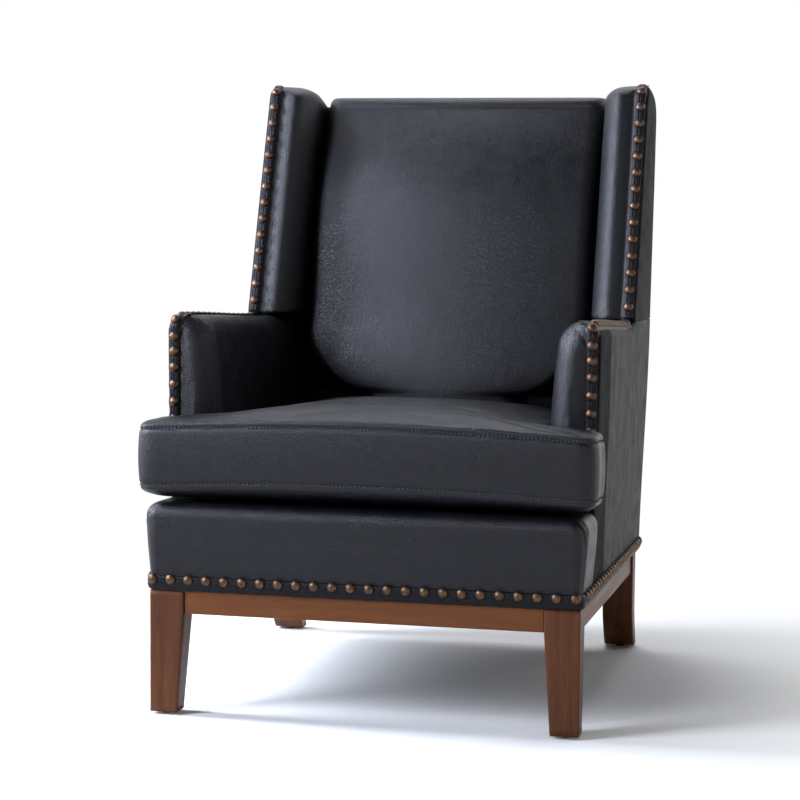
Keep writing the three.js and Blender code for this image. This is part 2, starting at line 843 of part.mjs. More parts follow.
// A bar that follows the chair's leaning rear face, between two depths in front of the back panel.
function slantedBar(x0, z0, z1, depth0, depth1, x1 = -x0) {
  const ring = (z) => {
    const y = rearInnerY(z);
    return [
      [x0, y - depth1],
      [x1, y - depth1],
      [x1, y - depth0],
      [x0, y - depth0],
    ].map((p) => new THREE.Vector3(p[0], p[1], z));
  };
  return loft([ring(z0), ring(z1)]);
}

const backPocketHalf = backPadWidth / 2 - backPocketMargin;
const backPocketFloor = backPadFloor - cutOverrun;
const backPocketTop = backPadTop - backPocketMargin;
const postOuterX = backPadWidth / 2 - backCornerWidth + backPostWidth / 2;
const postInnerX = postOuterX - backPostWidth;
const backFrameTop = backPocketTop - fitGap;

function backPost() {
  return slantedBar(postInnerX, seatRailTop + fitGap, backFrameTop, fitGap, backPostDepth, postOuterX);
}

function backCrossRail(top) {
  return slantedBar(postInnerX - fitGap, top - backRailHeight, top, fitGap, backPostDepth);
}

function backWebbing(share) {
  const z = seatRailTop + (backFrameTop - seatRailTop) * share;
  const depth = backPostDepth + fitGap;
  return slantedBar(postOuterX, z, z + webbingWidth, depth, depth + webbingThickness);
}

// The outside back closes the rear between the side panels, from the wood to the top rail.
function outsideBackPanel() {
  const steps = 8;
  const crown = panelThickness / 3;
  const radii = [hemRadius, hemRadius, panelEdgeRadius / 2, panelEdgeRadius / 2];
  const ring = (z, drop) => {
    const half = outerX(z) - panelThickness - seamGap;
    const y1 = rearFaceY(z);
    const y0 = y1 - panelThickness;
    return roundedRing(-half, y0, half, y1 - drop, radii, 2).map(
      (p) => new THREE.Vector3(p.x, p.y, z),
    );
  };
  const rings = [];
  for (let i = 0; i <= steps; i++) {
    rings.push(ring(bodyFloor + ((rearTopHeight - panelThickness - bodyFloor) * i) / steps, 0));
  }
  rings.push(ring(rearTopHeight - crown, crown));
  return loft(rings);
}

// Seat cushion

// Rounds each corner of an outline and splits each side, drawing the side in between its corners.
function softOutline(corners, cornerSteps) {
  const points = [];
  corners.forEach((corner, i) => {
    const before = corners[(i + corners.length - 1) % corners.length];
    const after = corners[(i + 1) % corners.length];
    const cutBack = (to, radius) => corner.at.clone().lerp(to.at, radius / corner.at.distanceTo(to.at));
    const enter = cutBack(before, corner.radius);
    const leave = cutBack(after, corner.radius);
    for (let k = 0; k <= cornerSteps; k++) {
      const t = k / cornerSteps;
      const a = enter.clone().lerp(corner.at, t);
      points.push(a.lerp(corner.at.clone().lerp(leave, t), t));
    }
    const end = after.at.clone().lerp(corner.at, after.radius / corner.at.distanceTo(after.at));
    const inward = end.clone().sub(leave).normalize().rotateAround(new THREE.Vector2(), Math.PI / 2);
    for (let k = 1; k < corner.splits; k++) {
      const t = k / corner.splits;
      points.push(leave.clone().lerp(end, t).addScaledVector(inward, corner.draw * Math.sin(Math.PI * t)));
    }
  });
  return points;
}

const cushionRearY = backFaceY - backPadCrown;
const cushionWingRearY = armFrontY - nailReach - cushionClearance;
const cushionStemX = armInnerX - armSwell - cushionClearance;

// The T-shaped outline, every side moved in by an inset.
function cushionOutline(inset, cornerSteps, splitScale) {
  const half = overallWidth / 2 - inset;
  const stem = cushionStemX - inset;
  const front = frontY + inset;
  const wingRear = cushionWingRearY - inset;
  const rear = cushionRearY - inset;
  const corner = (x, y, radius, splits, draw) => ({
    at: new THREE.Vector2(x, y),
    radius: Math.max(radius - inset / 2, radius / 6),
    splits: Math.max(1, Math.round(splits * splitScale)),
    draw,
  });
  const inner = cushionCorner / 3;
  return softOutline(
    [
      corner(-half, front, cushionFrontCorner, 8, 0),
      corner(half, front, cushionFrontCorner, 2, cushionSideDraw / 2),
      corner(half, wingRear, cushionCorner, 1, 0),
      corner(stem, wingRear, inner, 4, cushionSideDraw),
      corner(stem, rear, cushionCorner, 4, cushionSideDraw),
      corner(-stem, rear, cushionCorner, 4, cushionSideDraw),
      corner(-stem, wingRear, inner, 1, 0),
      corner(-half, wingRear, cushionCorner, 2, cushionSideDraw / 2),
    ],
    cornerSteps,
  );
}

// The cushion's form: a flat rest, a rounded underside, swelling boxing and a crowned top.
function cushionForm(wall, insetShares, cornerSteps, splitScale) {
  const crownDepth = (cushionWingRearY - frontY) / 2 - cushionBulge - wall - cushionRidge;
  const floor = cushionFloor + wall;
  const top = cushionTop - wall;
  const ring = (inset, z, lifted) =>
    cushionOutline(inset + wall, cornerSteps, splitScale).map((p) => {
      const ahead = smooth((cushionWingRearY - p.y) / (cushionWingRearY - frontY));
      const lift = lifted * cushionSeamLift * ahead * (1 - (p.x / (overallWidth / 2)) ** 2);
      return new THREE.Vector3(p.x, p.y, z + lift);
    });
  const swell = (share) => Math.sqrt(1 - (1 - share) ** 2);
  const middleY = (frontY + cushionWingRearY) / 2;
  const domed = (p, rise) => {
    const ends = cushionEndDropShare * (p.x / (overallWidth / 2)) ** 2;
    const behind = Math.max(0, (p.y - middleY) / (cushionRearY - middleY));
    p.z += (top - cushionUpperSeam) * rise * (1 - ends - cushionRearDropShare * behind ** 2);
    return p;
  };
  const rings = [];
  [...insetShares].reverse().forEach((share) => {
    const z = cushionLowerSeam - (cushionLowerSeam - floor) * swell(share);
    rings.push(ring(cushionBulge + crownDepth * share, z, 1 - share));
  });
  rings.push(ring(0, (cushionLowerSeam + cushionUpperSeam) / 2, 1));
  insetShares.forEach((share) => {
    const level = ring(cushionBulge + crownDepth * share, cushionUpperSeam, 1 - share);
    rings.push(level.map((p) => domed(p, swell(share))));
  });
  const edge = rings.at(-1);
  [...cushionDomeShares, 0].forEach((share) => {
    const inner = edge.map((p) =>
      domed(new THREE.Vector3(p.x * share, middleY + (p.y - middleY) * share, cushionUpperSeam), 1),
    );
    rings.push(inner);
  });
  return loft(rings, middleY);
}

function cushionCover() {
  const inside = cushionForm(cushionWall, cushionCoreShares, 1, 0.5);
  const zip = box(
    -cushionStemX / 2,
    cushionStemX / 2,
    cushionRearY - cushionWall * 3,
    cushionRearY + cutOverrun,
    (cushionLowerSeam + cushionUpperSeam - zipSlot) / 2,
    (cushionLowerSeam + cushionUpperSeam + zipSlot) / 2,
  );
  return cut(cushionForm(0, cushionCrownShares, 3, 1), inside, zip);
}

// Nailhead trim

// Points with outward normals at equal steps along a path.
function alongPath(path, distances) {
  const curve = new THREE.CurvePath();
  for (let i = 0; i + 1 < path.length; i++) {
    curve.add(new THREE.LineCurve(path[i], path[i + 1]));
  }
  const length = curve.getLength();
  return distances(length).map((d) => {
    const at = curve.getPointAt(d / length);
    const along = curve.getTangentAt(d / length);
    return { at, normal: new THREE.Vector2(-along.y, along.x) };
  });
}

// The path moved out along its normals.
function offsetPath(path, distance) {
  return path.map((p, i) => {
    const along = path[Math.min(i + 1, path.length - 1)].clone().sub(path[Math.max(i - 1, 0)]);
    along.normalize();
    return new THREE.Vector2(p.x - along.y * distance, p.y + along.x * distance);
  });
}

// A domed nailhead, standing on its band along a direction.
function nail(at, direction) {
  const root = bandThickness / 2;
  const [wide, high] = nailShoulderShares;
  const profile = [
    new THREE.Vector2(0, -root),
    new THREE.Vector2(nailRadius, -root),
    new THREE.Vector2(nailRadius * wide, nailHeight * high),
    new THREE.Vector2(0, nailHeight),
  ];
  const turn = new THREE.Quaternion().setFromUnitVectors(new THREE.Vector3(0, 1, 0), direction);
  const geometry = new THREE.LatheGeometry(profile, nailSides).applyQuaternion(turn);
  return closed(geometry.translate(at.x, at.y, at.z));
}

// A leather band laid on a path and carried across its width, with a row of nails at a height across.
// basis turns (along u, along v, across w) into the chair's axes.
function nailedBand(path, w0, width, nailRise, basis, distances) {
  const inner = offsetPath(path, fitGap * 2);
  const outer = offsetPath(path, fitGap * 2 + bandThickness);
  const shape = new THREE.Shape([...inner, ...outer.reverse()]);
  const strip = new THREE.ExtrudeGeometry(shape, { depth: width, bevelEnabled: false });
  strip.translate(0, 0, w0).applyMatrix4(basis);
  const nails = alongPath(path, distances).map(({ at, normal }) => {
    const reach = fitGap * 2 + bandThickness;
    const point = new THREE.Vector3(at.x, at.y, w0 + nailRise);
    point.addScaledVector(new THREE.Vector3(normal.x, normal.y, 0), reach);
    const direction = new THREE.Vector3(normal.x, normal.y, 0).transformDirection(basis);
    return nail(point.applyMatrix4(basis), direction);
  });
  return join(strip, ...nails);
}

// Base band: from the right rear corner round the front to the left rear corner.
function baseBand() {
  const x = bodyBaseWidth / 2;
  const y = bodyFrontY;
  const r = borderCornerRadius;
  const steps = 4;
  const rear = rearFaceY(bodyFloor) - fitGap;
  const path = [new THREE.Vector2(x, rear)];
  for (let i = 0; i <= steps; i++) {
    const angle = (-i * Math.PI) / 2 / steps;
    path.push(new THREE.Vector2(x - r + r * Math.cos(angle), y + r + r * Math.sin(angle)));
  }
  for (let i = 0; i <= steps; i++) {
    const angle = (-i * Math.PI) / 2 / steps - Math.PI / 2;
    path.push(new THREE.Vector2(-x + r + r * Math.cos(angle), y + r + r * Math.sin(angle)));
  }
  path.push(new THREE.Vector2(-x, rear));
  const floor = bodyFloor + fitGap;
  return nailedBand(path, floor, baseBandWidth, baseNailRise, new THREE.Matrix4(), (length) => {
    const half = Math.floor((length - baseNailPitch) / 2 / baseNailPitch);
    return Array.from(
      { length: 2 * half + 2 },
      (_, i) => length / 2 + (i - half) * baseNailPitch - baseNailPitch / 2,
    );
  });
}

// Arm band: up the arm's front and back along the top to the wing.
function armBand() {
  const path = [new THREE.Vector2(armFrontY, borderTop + bandEndGap)];
  edgeSteps(armFrontRadius, 4).forEach((e) => {
    const y = armFrontY + e.depth;
    path.push(new THREE.Vector2(y, armTopZ(y) - e.inset));
  });
  const from = armFrontY + armFrontRadius;
  const to = wingFaceY(armTopRear) - nailReach * 2;
  const steps = 6;
  for (let i = 1; i <= steps; i++) {
    const y = from + ((to - from) * i) / steps;
    path.push(new THREE.Vector2(y, armTopZ(y)));
  }
  const w0 = bodyWidth / 2 - armBandInset - bandWidth;
  return nailedBand(path, w0, bandWidth, bandWidth / 2, sideBasis, (length) => {
    const count = Math.floor((length - armFirstNail - nailRadius) / armNailPitch) + 1;
    return Array.from({ length: count }, (_, i) => armFirstNail + i * armNailPitch);
  });
}

// Wing band: up the raked front and over the rounded top.
function wingBand() {
  const shoulder = wingTop - wingTopRadius;
  const floor = wingFloor + bandEndGap;
  const path = [new THREE.Vector2(wingFaceY(floor), floor)];
  edgeSteps(wingTopRadius, 4)
    .reverse()
    .slice(0, -2)
    .forEach((e) => {
      const z = wingTop - e.depth;
      path.push(new THREE.Vector2(wingFaceY(z) + e.inset, z));
    });
  const w0 = bodyWidth / 2 - wingBandInset - bandWidth;
  return nailedBand(path, w0, bandWidth, bandWidth / 2, sideBasis, (length) => {
    const count = Math.floor((length - 2 * nailRadius) / wingNailPitch) + 1;
    const first = (length - (count - 1) * wingNailPitch) / 2;
    return Array.from({ length: count }, (_, i) => first + i * wingNailPitch);
  });
}

// The chair

const chair = new THREE.Group();

function finish(color, roughness, metalness = 0) {
  return new THREE.MeshStandardMaterial({ color, roughness, metalness });
}

const leather = () => finish(0x2b2d33, 0.5);
const trim = () => finish(0x3a2a22, 0.4, 0.3);
const walnut = () => finish(0x5a3420, 0.5);
const railWood = () => finish(0x6b4128, 0.55);
const frameWood = () => finish(0xc49a6c, 0.8);
const steel = () => finish(0x8d9094, 0.35, 1);
const cloth = () => finish(0x1c1c1e, 0.95);
const foam = () => finish(0xe2d9b8, 0.95);
const plastic = () => finish(0x151515, 0.5);

function add(name, geometry, material) {
  const mesh = new THREE.Mesh(geometry, material());
  mesh.name = name;
  chair.add(mesh);
}

// The same piece on both sides: right as made, left mirrored.
function addPair(name, geometry, material) {
  add(`${name}_right`, geometry, material);
  add(`${name}_left`, mirrored(geometry), material);
}

// Pieces of the pitched body.
function addPitched(name, geometry, material) {
  add(name, pitched(geometry), material);
}

function addPitchedPair(name, geometry, material) {
  addPair(name, pitched(geometry), material);
}

const frontBlockY = frontRailY + baseRailThickness + fitGap;
const rearBlockY = backRailY - fitGap;

// Distance along the diagonal from the rails' inner corner to the leg's.
const frontLegReach = (railInnerX - frontSpan + legFrontY + frontLegDepth - frontBlockY) * diagonal;
const backLegReach = (railInnerX - backSpan + rearBlockY - backLegTopY) * diagonal;

// The leg's square top with a clearance, which the corner block is notched round.
function legNotch(span, y0, depth) {
  const x1 = legFrameWidth / 2 + fitGap;
  return box(span - fitGap, x1, y0 - fitGap, y0 + depth + fitGap, railFloor - fitGap, woodTop);
}

// The legs stand upright; the pitched body cuts their tops.
const aboveLegs = box(0, overallWidth, frontY, rearY, legTop, seatRailTop);

addPair(
  "front_leg",
  cut(
    frontLeg(),
    pitched(aboveLegs),
    pitched(crossTenons(frontSpan, frontRailY, fitGap)),
    pitched(sideTenons(fitGap)),
    lowered(boltHole(frontBlockY, 1, frontLegReach), frontBlockY),
  ),
  walnut,
);
addPair(
  "back_leg",
  cut(
    backLeg(),
    pitched(aboveLegs),
    pitched(crossTenons(backSpan, backRailY, fitGap)),
    pitched(sideTenons(fitGap)),
    lowered(boltHole(rearBlockY, -1, backLegReach), rearBlockY),
  ),
  walnut,
);
const frontFootX = legFrameWidth / 2 - frontLegFootWidth / 2;
const backFootX = legFrameWidth / 2 - backLegWidth / 2;
addPair("glide_front", glide(frontFootX, legFrontY + frontLegFootDepth / 2), plastic);
addPair("glide_back", glide(backFootX, backLegFootY + backLegFootDepth / 2), plastic);

addPitched("base_rail_front", crossRail(frontSpan, frontRailY), railWood);
addPitched("base_rail_back", crossRail(backSpan, backRailY), railWood);
addPitchedPair("base_rail", sideRail(), railWood);
const frontBlock = cut(
  cornerBlock(frontBlockY, 1),
  boltHole(frontBlockY, 1, frontLegReach),
  legNotch(frontSpan, legFrontY, frontLegDepth),
);
const rearBlock = cut(
  cornerBlock(rearBlockY, -1),
  boltHole(rearBlockY, -1, backLegReach),
  legNotch(backSpan, backLegTopY, backLegDepth),
);
addPair("corner_block_front", lowered(frontBlock, frontBlockY), frameWood);
addPair("corner_block_back", lowered(rearBlock, rearBlockY), frameWood);
addPair("leg_bolt_front", lowered(legBolt(frontBlockY, 1, frontLegReach), frontBlockY), steel);
addPair("leg_bolt_back", lowered(legBolt(rearBlockY, -1, backLegReach), rearBlockY), steel);

addPitched(
  "seat_rail_front",
  box(
    -seatRailX,
    seatRailX,
    seatRailFrontY,
    seatRailFrontY + seatRailThickness,
    bodyFloor,
    seatRailTop,
  ),
  frameWood,
);
addPitched(
  "seat_rail_back",
  box(
    -seatRailX,
    seatRailX,
    seatRailRearY - seatRailThickness,
    seatRailRearY,
    bodyFloor,
    seatRailTop,
  ),
  frameWood,
);
addPitchedPair(
  "seat_rail",
  box(
    seatRailX - seatRailThickness,
    seatRailX,
    seatSpanFront,
    seatSpanRear,
    bodyFloor,
    seatRailTop,
  ),
  frameWood,
);
const springSpan = 2 * (seatRailX - seatRailThickness - springSideMargin);
for (let i = 0; i < springCount; i++) {
  const x = springSpan * (i / (springCount - 1) - 0.5);
  addPitched(`seat_spring_${i + 1}`, seatSpring(x), steel);
}
addPitched("deck_pad", deckPad(), cloth);
const coverHalf = seatRailX - seatRailThickness - dustCoverMargin;
addPitched(
  "dust_cover",
  box(
    -coverHalf,
    coverHalf,
    seatSpanFront + dustCoverMargin,
    seatSpanRear - dustCoverMargin,
    bodyFloor,
    bodyFloor + dustCoverThickness,
  ),
  cloth,
);
addPitched("front_border", frontBorder(), leather);

addPitchedPair("arm_frame", armFrame(), frameWood);
addPitchedPair("arm_pad", armPad(), leather);
addPitchedPair("outside_arm_panel", outsideArmPanel(), leather);
const wingFrameX = wingInnerX + wingWall + fitGap;
addPitchedPair("wing_frame", wingBoard(wingWall + fitGap, wingFrameX, wingFrameX + frameBoard), frameWood);
addPitchedPair("wing_pad", wingPad(), leather);
addPitchedPair("outside_wing_panel", outsideWingPanel(), leather);

addPitchedPair("back_post", backPost(), frameWood);
addPitched("back_top_rail", backCrossRail(backFrameTop), frameWood);
addPitched("back_lower_rail", backCrossRail(seatRailTop + backRailHeight * 3), frameWood);
webbingHeightShares.forEach((share, i) => {
  addPitched(`back_webbing_${i + 1}`, backWebbing(share), cloth);
});
addPitched("inside_back_pad", backPad(), leather);
addPitched("outside_back_panel", outsideBackPanel(), leather);

addPitched("seat_cushion_cover", cushionCover(), leather);
const cushionCore = cushionForm(cushionWall + coreClearance, cushionCoreShares, 1, 0.5);
addPitched("seat_cushion_core", cushionCore, foam);

addPitched("base_nail_band", baseBand(), trim);
addPitchedPair("arm_nail_band", armBand(), trim);
addPitchedPair("wing_nail_band", wingBand(), trim);

export default chair;
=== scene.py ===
import math

import bpy
import numpy as np
from mathutils import Matrix, Vector


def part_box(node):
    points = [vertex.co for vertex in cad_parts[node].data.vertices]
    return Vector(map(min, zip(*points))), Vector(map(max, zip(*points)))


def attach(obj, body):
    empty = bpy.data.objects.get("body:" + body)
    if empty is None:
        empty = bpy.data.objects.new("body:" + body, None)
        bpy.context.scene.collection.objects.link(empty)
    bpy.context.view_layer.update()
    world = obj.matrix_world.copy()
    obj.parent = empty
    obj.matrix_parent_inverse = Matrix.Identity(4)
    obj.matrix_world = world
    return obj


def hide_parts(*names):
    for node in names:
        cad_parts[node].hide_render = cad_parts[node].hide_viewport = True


bl_info = {
    "name": "Wingback armchair",
    "version": (1, 0, 0),
    "blender": (4, 5, 0),
    "location": "3D View > Sidebar > Armchair",
    "description": "Leather wingback armchair with nailhead trim on a walnut base",
    "category": "Add Mesh",
}

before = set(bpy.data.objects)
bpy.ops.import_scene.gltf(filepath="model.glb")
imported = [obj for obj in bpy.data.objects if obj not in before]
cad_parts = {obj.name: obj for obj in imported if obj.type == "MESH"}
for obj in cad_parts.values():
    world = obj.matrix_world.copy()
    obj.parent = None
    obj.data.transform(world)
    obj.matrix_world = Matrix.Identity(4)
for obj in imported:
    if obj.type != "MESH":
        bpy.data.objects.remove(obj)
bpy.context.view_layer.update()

# Places and sizes in metres. Heights are the body's own, before its fall towards the rear.
SIDES = {"right": 1, "left": -1}
PITCH = 0.028  # the body's fall, of its depth
FIT = 0.0004  # a close fit between two pieces
PANEL = 0.008  # thickness of the outside panels

# The whole body
FRONT = -0.430
REAR = 0.430
WIDTH = 0.742
BODY_FRONT = -0.4175
BODY_FLOOR = 0.2004
BODY_HALF = 0.3525
BASE_HALF = 0.345
WOOD_TOP = 0.200
WIDENING = 0.400
REAR_TOP = 1.0165
REAR_LEAN = 0.097

# Border and arms
BORDER_TOP = 0.339
BORDER_ROUND = 0.022
BORDER_SWELL = 0.006
ARM_FRONT = -0.303
ARM_INNER = 0.273
ARM_TOP = 0.635
ARM_TOP_REAR = 0.625
ARM_FLOOR = 0.304
ARM_RADIUS = 0.015
ARM_PLUMP = 0.0075
ARM_STRIP = 0.125

# Wings
WING_FRONT = 0.142
WING_FLOOR = 0.6255
WING_TOP = 1.0465
WING_RAKE = 0.148
WING_INNER = 0.268
WING_TOP_RADIUS = 0.024
WING_REAR_RADIUS = 0.042
WING_REAR_DROP = 0.022
WING_CROWN = 0.011
WING_PLUMP = 0.007

# Inside and outside back
BACK_FLOOR = 0.3394
BACK_TOP = 1.031
BACK_ROUND = 0.020
BACK_HALF = 0.264
BACK_CROWN = 0.027
BACK_EDGE = 0.030
BACK_FACE = 0.167
BACK_FACE_REACH = 0.194
BACK_CORNER = (0.120, 0.622, 0.134)  # lower corners: how far they draw in, from and over what height
BACK_SHOULDER = 0.050
OUTSIDE_BACK_ROUND = 0.018
OUTSIDE_BACK_CROWN = 0.0015

# Seat cushion
CUSHION_FLOOR = 0.3405
LOWER_SEAM = 0.363
UPPER_SEAM = 0.457
CUSHION_TOP = 0.488
CUSHION_REAR = 0.141
CUSHION_BULGE = 0.0022
CUSHION_SHRINK = 0.004  # room for the cover to be blown up in
SEAM_LIFT = 0.012
SEAM_TUCK = 0.0025
EAR_REAR = -0.3137
STEM = 0.266

# Bands and nails
BAND_GAP = 0.0008
BAND_EDGE = 0.0006
BASE_BAND_WIDTH = 0.024
BASE_BAND_RADIUS = 0.012
SIDE_BAND_WIDTH = 0.020
ARM_BAND_INSET = 0.0235
WING_BAND_INSET = 0.0225
BASE_NAIL_RISE = 0.017
BASE_NAIL_PITCH = 0.0292
ARM_NAIL_PITCH = 0.028
ARM_FIRST_NAIL = 0.0365
WING_NAIL_PITCH = 0.0314
NAIL_END = 0.0072  # least distance from a nail to its band's end

# Legs
LEG_OUTER = 0.343
LEG_FOOT = 0.0044
LEG_RADIUS = 0.003

# Rounded outer edges along the arms' and wings' tops: how far they reach across and down.
ARM_EDGE = (0.044, 0.026)
WING_EDGE = (0.008, 0.016)

# The photograph's camera, solved from the chair's feet and front corners
PICTURE = 800
FOCAL_PIXELS = 2163
SENSOR = 36.0
CAMERA_PLACE = (0.7887, -3.6229, 0.8125)
CAMERA_DEGREES = (12.795, 5.22, 0.496)  # turned, tipped down, rolled


class ArmchairSizes(bpy.types.PropertyGroup):
    """Sizes of the covering that a user would change."""

    cushion_swell: bpy.props.FloatProperty(
        name="Cushion swell",
        description="How far the filling may push the seat cushion's cover out",
        default=0.018,
        unit="LENGTH",
    )
    seam_depth: bpy.props.FloatProperty(
        name="Seam depth",
        description="How deep the cushion's seams lie in its cover",
        default=0.0034,
        unit="LENGTH",
    )
    stitch_length: bpy.props.FloatProperty(
        name="Stitch length",
        description="Length from one stitch to the next",
        default=0.0062,
        unit="LENGTH",
    )
    nail_radius: bpy.props.FloatProperty(
        name="Nail radius",
        description="Radius of a nail's domed head",
        default=0.0083,
        unit="LENGTH",
    )
    nail_height: bpy.props.FloatProperty(
        name="Nail height",
        description="Height of a nail's domed head above its band",
        default=0.0055,
        unit="LENGTH",
    )
    band_thickness: bpy.props.FloatProperty(
        name="Band thickness",
        description="Thickness of the leather bands under the nails",
        default=0.0025,
        unit="LENGTH",
    )
    arm_roll: bpy.props.FloatProperty(
        name="Arm roll",
        description="Radius of the arm front's inner edge",
        default=0.045,
        unit="LENGTH",
    )
    wing_roll: bpy.props.FloatProperty(
        name="Wing roll",
        description="Radius of the wing's inner front edge",
        default=0.060,
        unit="LENGTH",
    )


class ArmchairColours(bpy.types.PropertyGroup):
    """Colours that a user would change."""

    leather: bpy.props.FloatVectorProperty(
        name="Leather",
        description="Leather of the cushion, back, arms and wings",
        default=(0.0050, 0.0050, 0.0076),
        subtype="COLOR",
    )
    # Painted sheen: the outside panels' leather is lighter and greyer than the rest, standing in for the
    # shine leather shows at grazing angles.
    side_leather: bpy.props.FloatVectorProperty(
        name="Side leather",
        description="Leather of the outside panels",
        default=(0.0175, 0.0176, 0.0182),
        subtype="COLOR",
    )
    thread: bpy.props.FloatVectorProperty(
        name="Thread",
        description="Thread of the seams",
        default=(0.026, 0.027, 0.033),
        subtype="COLOR",
    )
    nail: bpy.props.FloatVectorProperty(
        name="Nails",
        description="Antique finish of the nail heads",
        default=(0.112, 0.069, 0.046),
        subtype="COLOR",
    )
    leg: bpy.props.FloatVectorProperty(
        name="Legs",
        description="Stain of the legs",
        default=(0.086, 0.0275, 0.0088),
        subtype="COLOR",
    )
    rail: bpy.props.FloatVectorProperty(
        name="Rails",
        description="Stain of the rails between the legs",
        default=(0.108, 0.0350, 0.0094),
        subtype="COLOR",
    )


# Forms


def smooth(t):
    """3 t^2 - 2 t^3 between 0 and 1."""
    t = np.clip(t, 0, 1)
    return t * t * (3 - 2 * t)


def bell(t):
    """exp(-t^2)."""
    return np.exp(-np.square(t))


def quarter(depth, radius):
    """How far a round edge of a radius is drawn in at a depth: r - sqrt(r^2 - (r - d)^2)."""
    d = np.clip(depth, 0, radius)
    return radius - np.sqrt(np.maximum(radius**2 - (radius - d) ** 2, 0))


def quarter_turn(count):
    """Equal angles of a quarter circle, both ends included."""
    return np.linspace(0, np.pi / 2, count)


def edge_drop(reach, wide, high):
    """How far a rounded edge of unequal reach has dropped: high (1 - sqrt(1 - (reach / wide)^2))."""
    share = np.clip(np.asarray(reach) / wide, 0, 1)
    return high * (1 - np.sqrt(1 - share**2))


def before_wing(y):
    """1 along the arm, fading to 0 by a blend where the wing begins."""
    ahead, fade_length = 0.05, 0.08
    return 1 - smooth((y - WING_FRONT + ahead) / fade_length)


def arm_edge(x, y, z):
    """How far the arm's outer top edge has dropped at a place: full on the top, nothing lower down and
    nothing under the wing."""
    wide, high = ARM_EDGE
    below_top, fade_height = 0.085, 0.070
    share = smooth((z - arm_top(y) + below_top) / fade_height)
    return edge_drop(np.abs(x) - (BODY_HALF - wide), wide, high) * before_wing(y) * share


def wing_edge(x, y, z):
    """How far the wing's outer top edge has dropped at a place: full on the top, nothing lower down."""
    wide, high = WING_EDGE
    below_top, fade_height = 0.050, 0.035
    share = smooth((z - WING_TOP + below_top) / fade_height)
    return edge_drop(np.abs(x) - (BODY_HALF - wide), wide, high) * share


def outer_x(z):
    """The side's outer face: it widens by a level-ended blend over the widening height."""
    return BASE_HALF + (BODY_HALF - BASE_HALF) * smooth((z - WOOD_TOP) / WIDENING)


def rear_y(z):
    """The leaning rear face, a straight line from the wood to the top."""
    slope = REAR_LEAN / (REAR_TOP - WOOD_TOP)
    return REAR - slope * (REAR_TOP - np.minimum(z, REAR_TOP))


def arm_top(y):
    """The arm's top: it falls by a level-ended blend from the front to the wing."""
    return ARM_TOP - (ARM_TOP - ARM_TOP_REAR) * smooth((y - ARM_FRONT) / (WING_FRONT - ARM_FRONT))


def wing_y(z):
    """The wing's raked front edge, a straight line."""
    return WING_FRONT + WING_RAKE * (z - WING_FLOOR) / (WING_TOP - WING_FLOOR)


def fall(y):
    """The body's fall: the pitch times the distance behind the body's front."""
    return PITCH * (y - BODY_FRONT)


def pitched(points):
    """The points let down by the body's fall."""
    out = np.array(points, dtype=float)
    out[..., 2] -= fall(out[..., 1])
    return out


def spread(low, high, count):
    """Equal steps from low to high, end included."""
    return low + (high - low) * np.linspace(0, 1, count)


def at_heights(ring, z):
    """Plane rings, each set at its own height."""
    return np.concatenate([ring, np.broadcast_to(z[:, None, None], (*ring.shape[:2], 1))], -1)


def rounded_rect(u0, v0, u1, v1, radii, corner_steps, side_steps):
    """Rings round rectangles, one for each value of the arrays: four quarter circles joined by straight
    sides that are split evenly. The order is (u0, v0), (u1, v0), (u1, v1), (u0, v1)."""
    edges = (np.asarray(a, dtype=float)[..., None] for a in (u0, v0, u1, v1))
    u0, v0, u1, v1 = np.broadcast_arrays(*edges)
    parts = []
    places = [(u0, v0, 1, 1, 1.0), (u1, v0, -1, 1, 1.5), (u1, v1, -1, -1, 0.0), (u0, v1, 1, -1, 0.5)]
    for (u, v, du, dv, start), r in zip(places, radii):
        r = np.asarray(r, dtype=float)[..., None] if np.ndim(r) else r
        turn = np.pi * (start + np.linspace(0, 0.5, corner_steps + 1))
        parts.append(np.stack([u + du * r + r * np.cos(turn), v + dv * r + r * np.sin(turn)], -1))
    ring = []
    for k in range(4):
        ring.append(parts[k])
        a, b = parts[k][..., -1:, :], parts[(k + 1) % 4][..., :1, :]
        t = np.linspace(0, 1, side_steps[k] + 1)[1:-1, None]
        ring.append(a + (b - a) * t)
    return np.concatenate(ring, -2)


def ring_faces(rows, columns):
    """Quads between neighbouring closed rings."""
    i, j = np.meshgrid(np.arange(rows - 1), np.arange(columns), indexing="ij")
    a, b = i * columns + j, i * columns + (j + 1) % columns
    return np.stack([a, b, b + columns, a + columns], -1).reshape(-1, 4)


def sheet_faces(rows, columns):
    """Quads of an open grid."""
    i, j = np.meshgrid(np.arange(rows - 1), np.arange(columns - 1), indexing="ij")
    a = i * columns + j
    return np.stack([a, a + 1, a + columns + 1, a + columns], -1).reshape(-1, 4)


def capped(stack, first, last):
    """Closed rings joined by quads, each end filled by a fan round its own middle point."""
    rows, columns = stack.shape[:2]
    points = np.concatenate([stack.reshape(-1, 3), [first], [last]])
    j = np.arange(columns)
    k = (j + 1) % columns
    end = (rows - 1) * columns
    head = np.stack([k, j, np.full(columns, rows * columns)], -1)
    tail = np.stack([end + j, end + k, np.full(columns, rows * columns + 1)], -1)
    return points, ring_faces(rows, columns).tolist() + head.tolist() + tail.tolist()


def closed_rings(rings, cap_shares=(0.8, 0.5, 0.2)):
    """Rings as a closed surface: each end is filled by copies of its last ring drawn in towards the
    ring's mean by the shares, and a fan."""
    first, last = rings[0].mean(0), rings[-1].mean(0)
    shares = np.array(cap_shares)[:, None, None]
    head = first + (rings[0] - first) * shares[::-1]
    tail = last + (rings[-1] - last) * shares
    return capped(np.concatenate([head, rings, tail]), first, last)


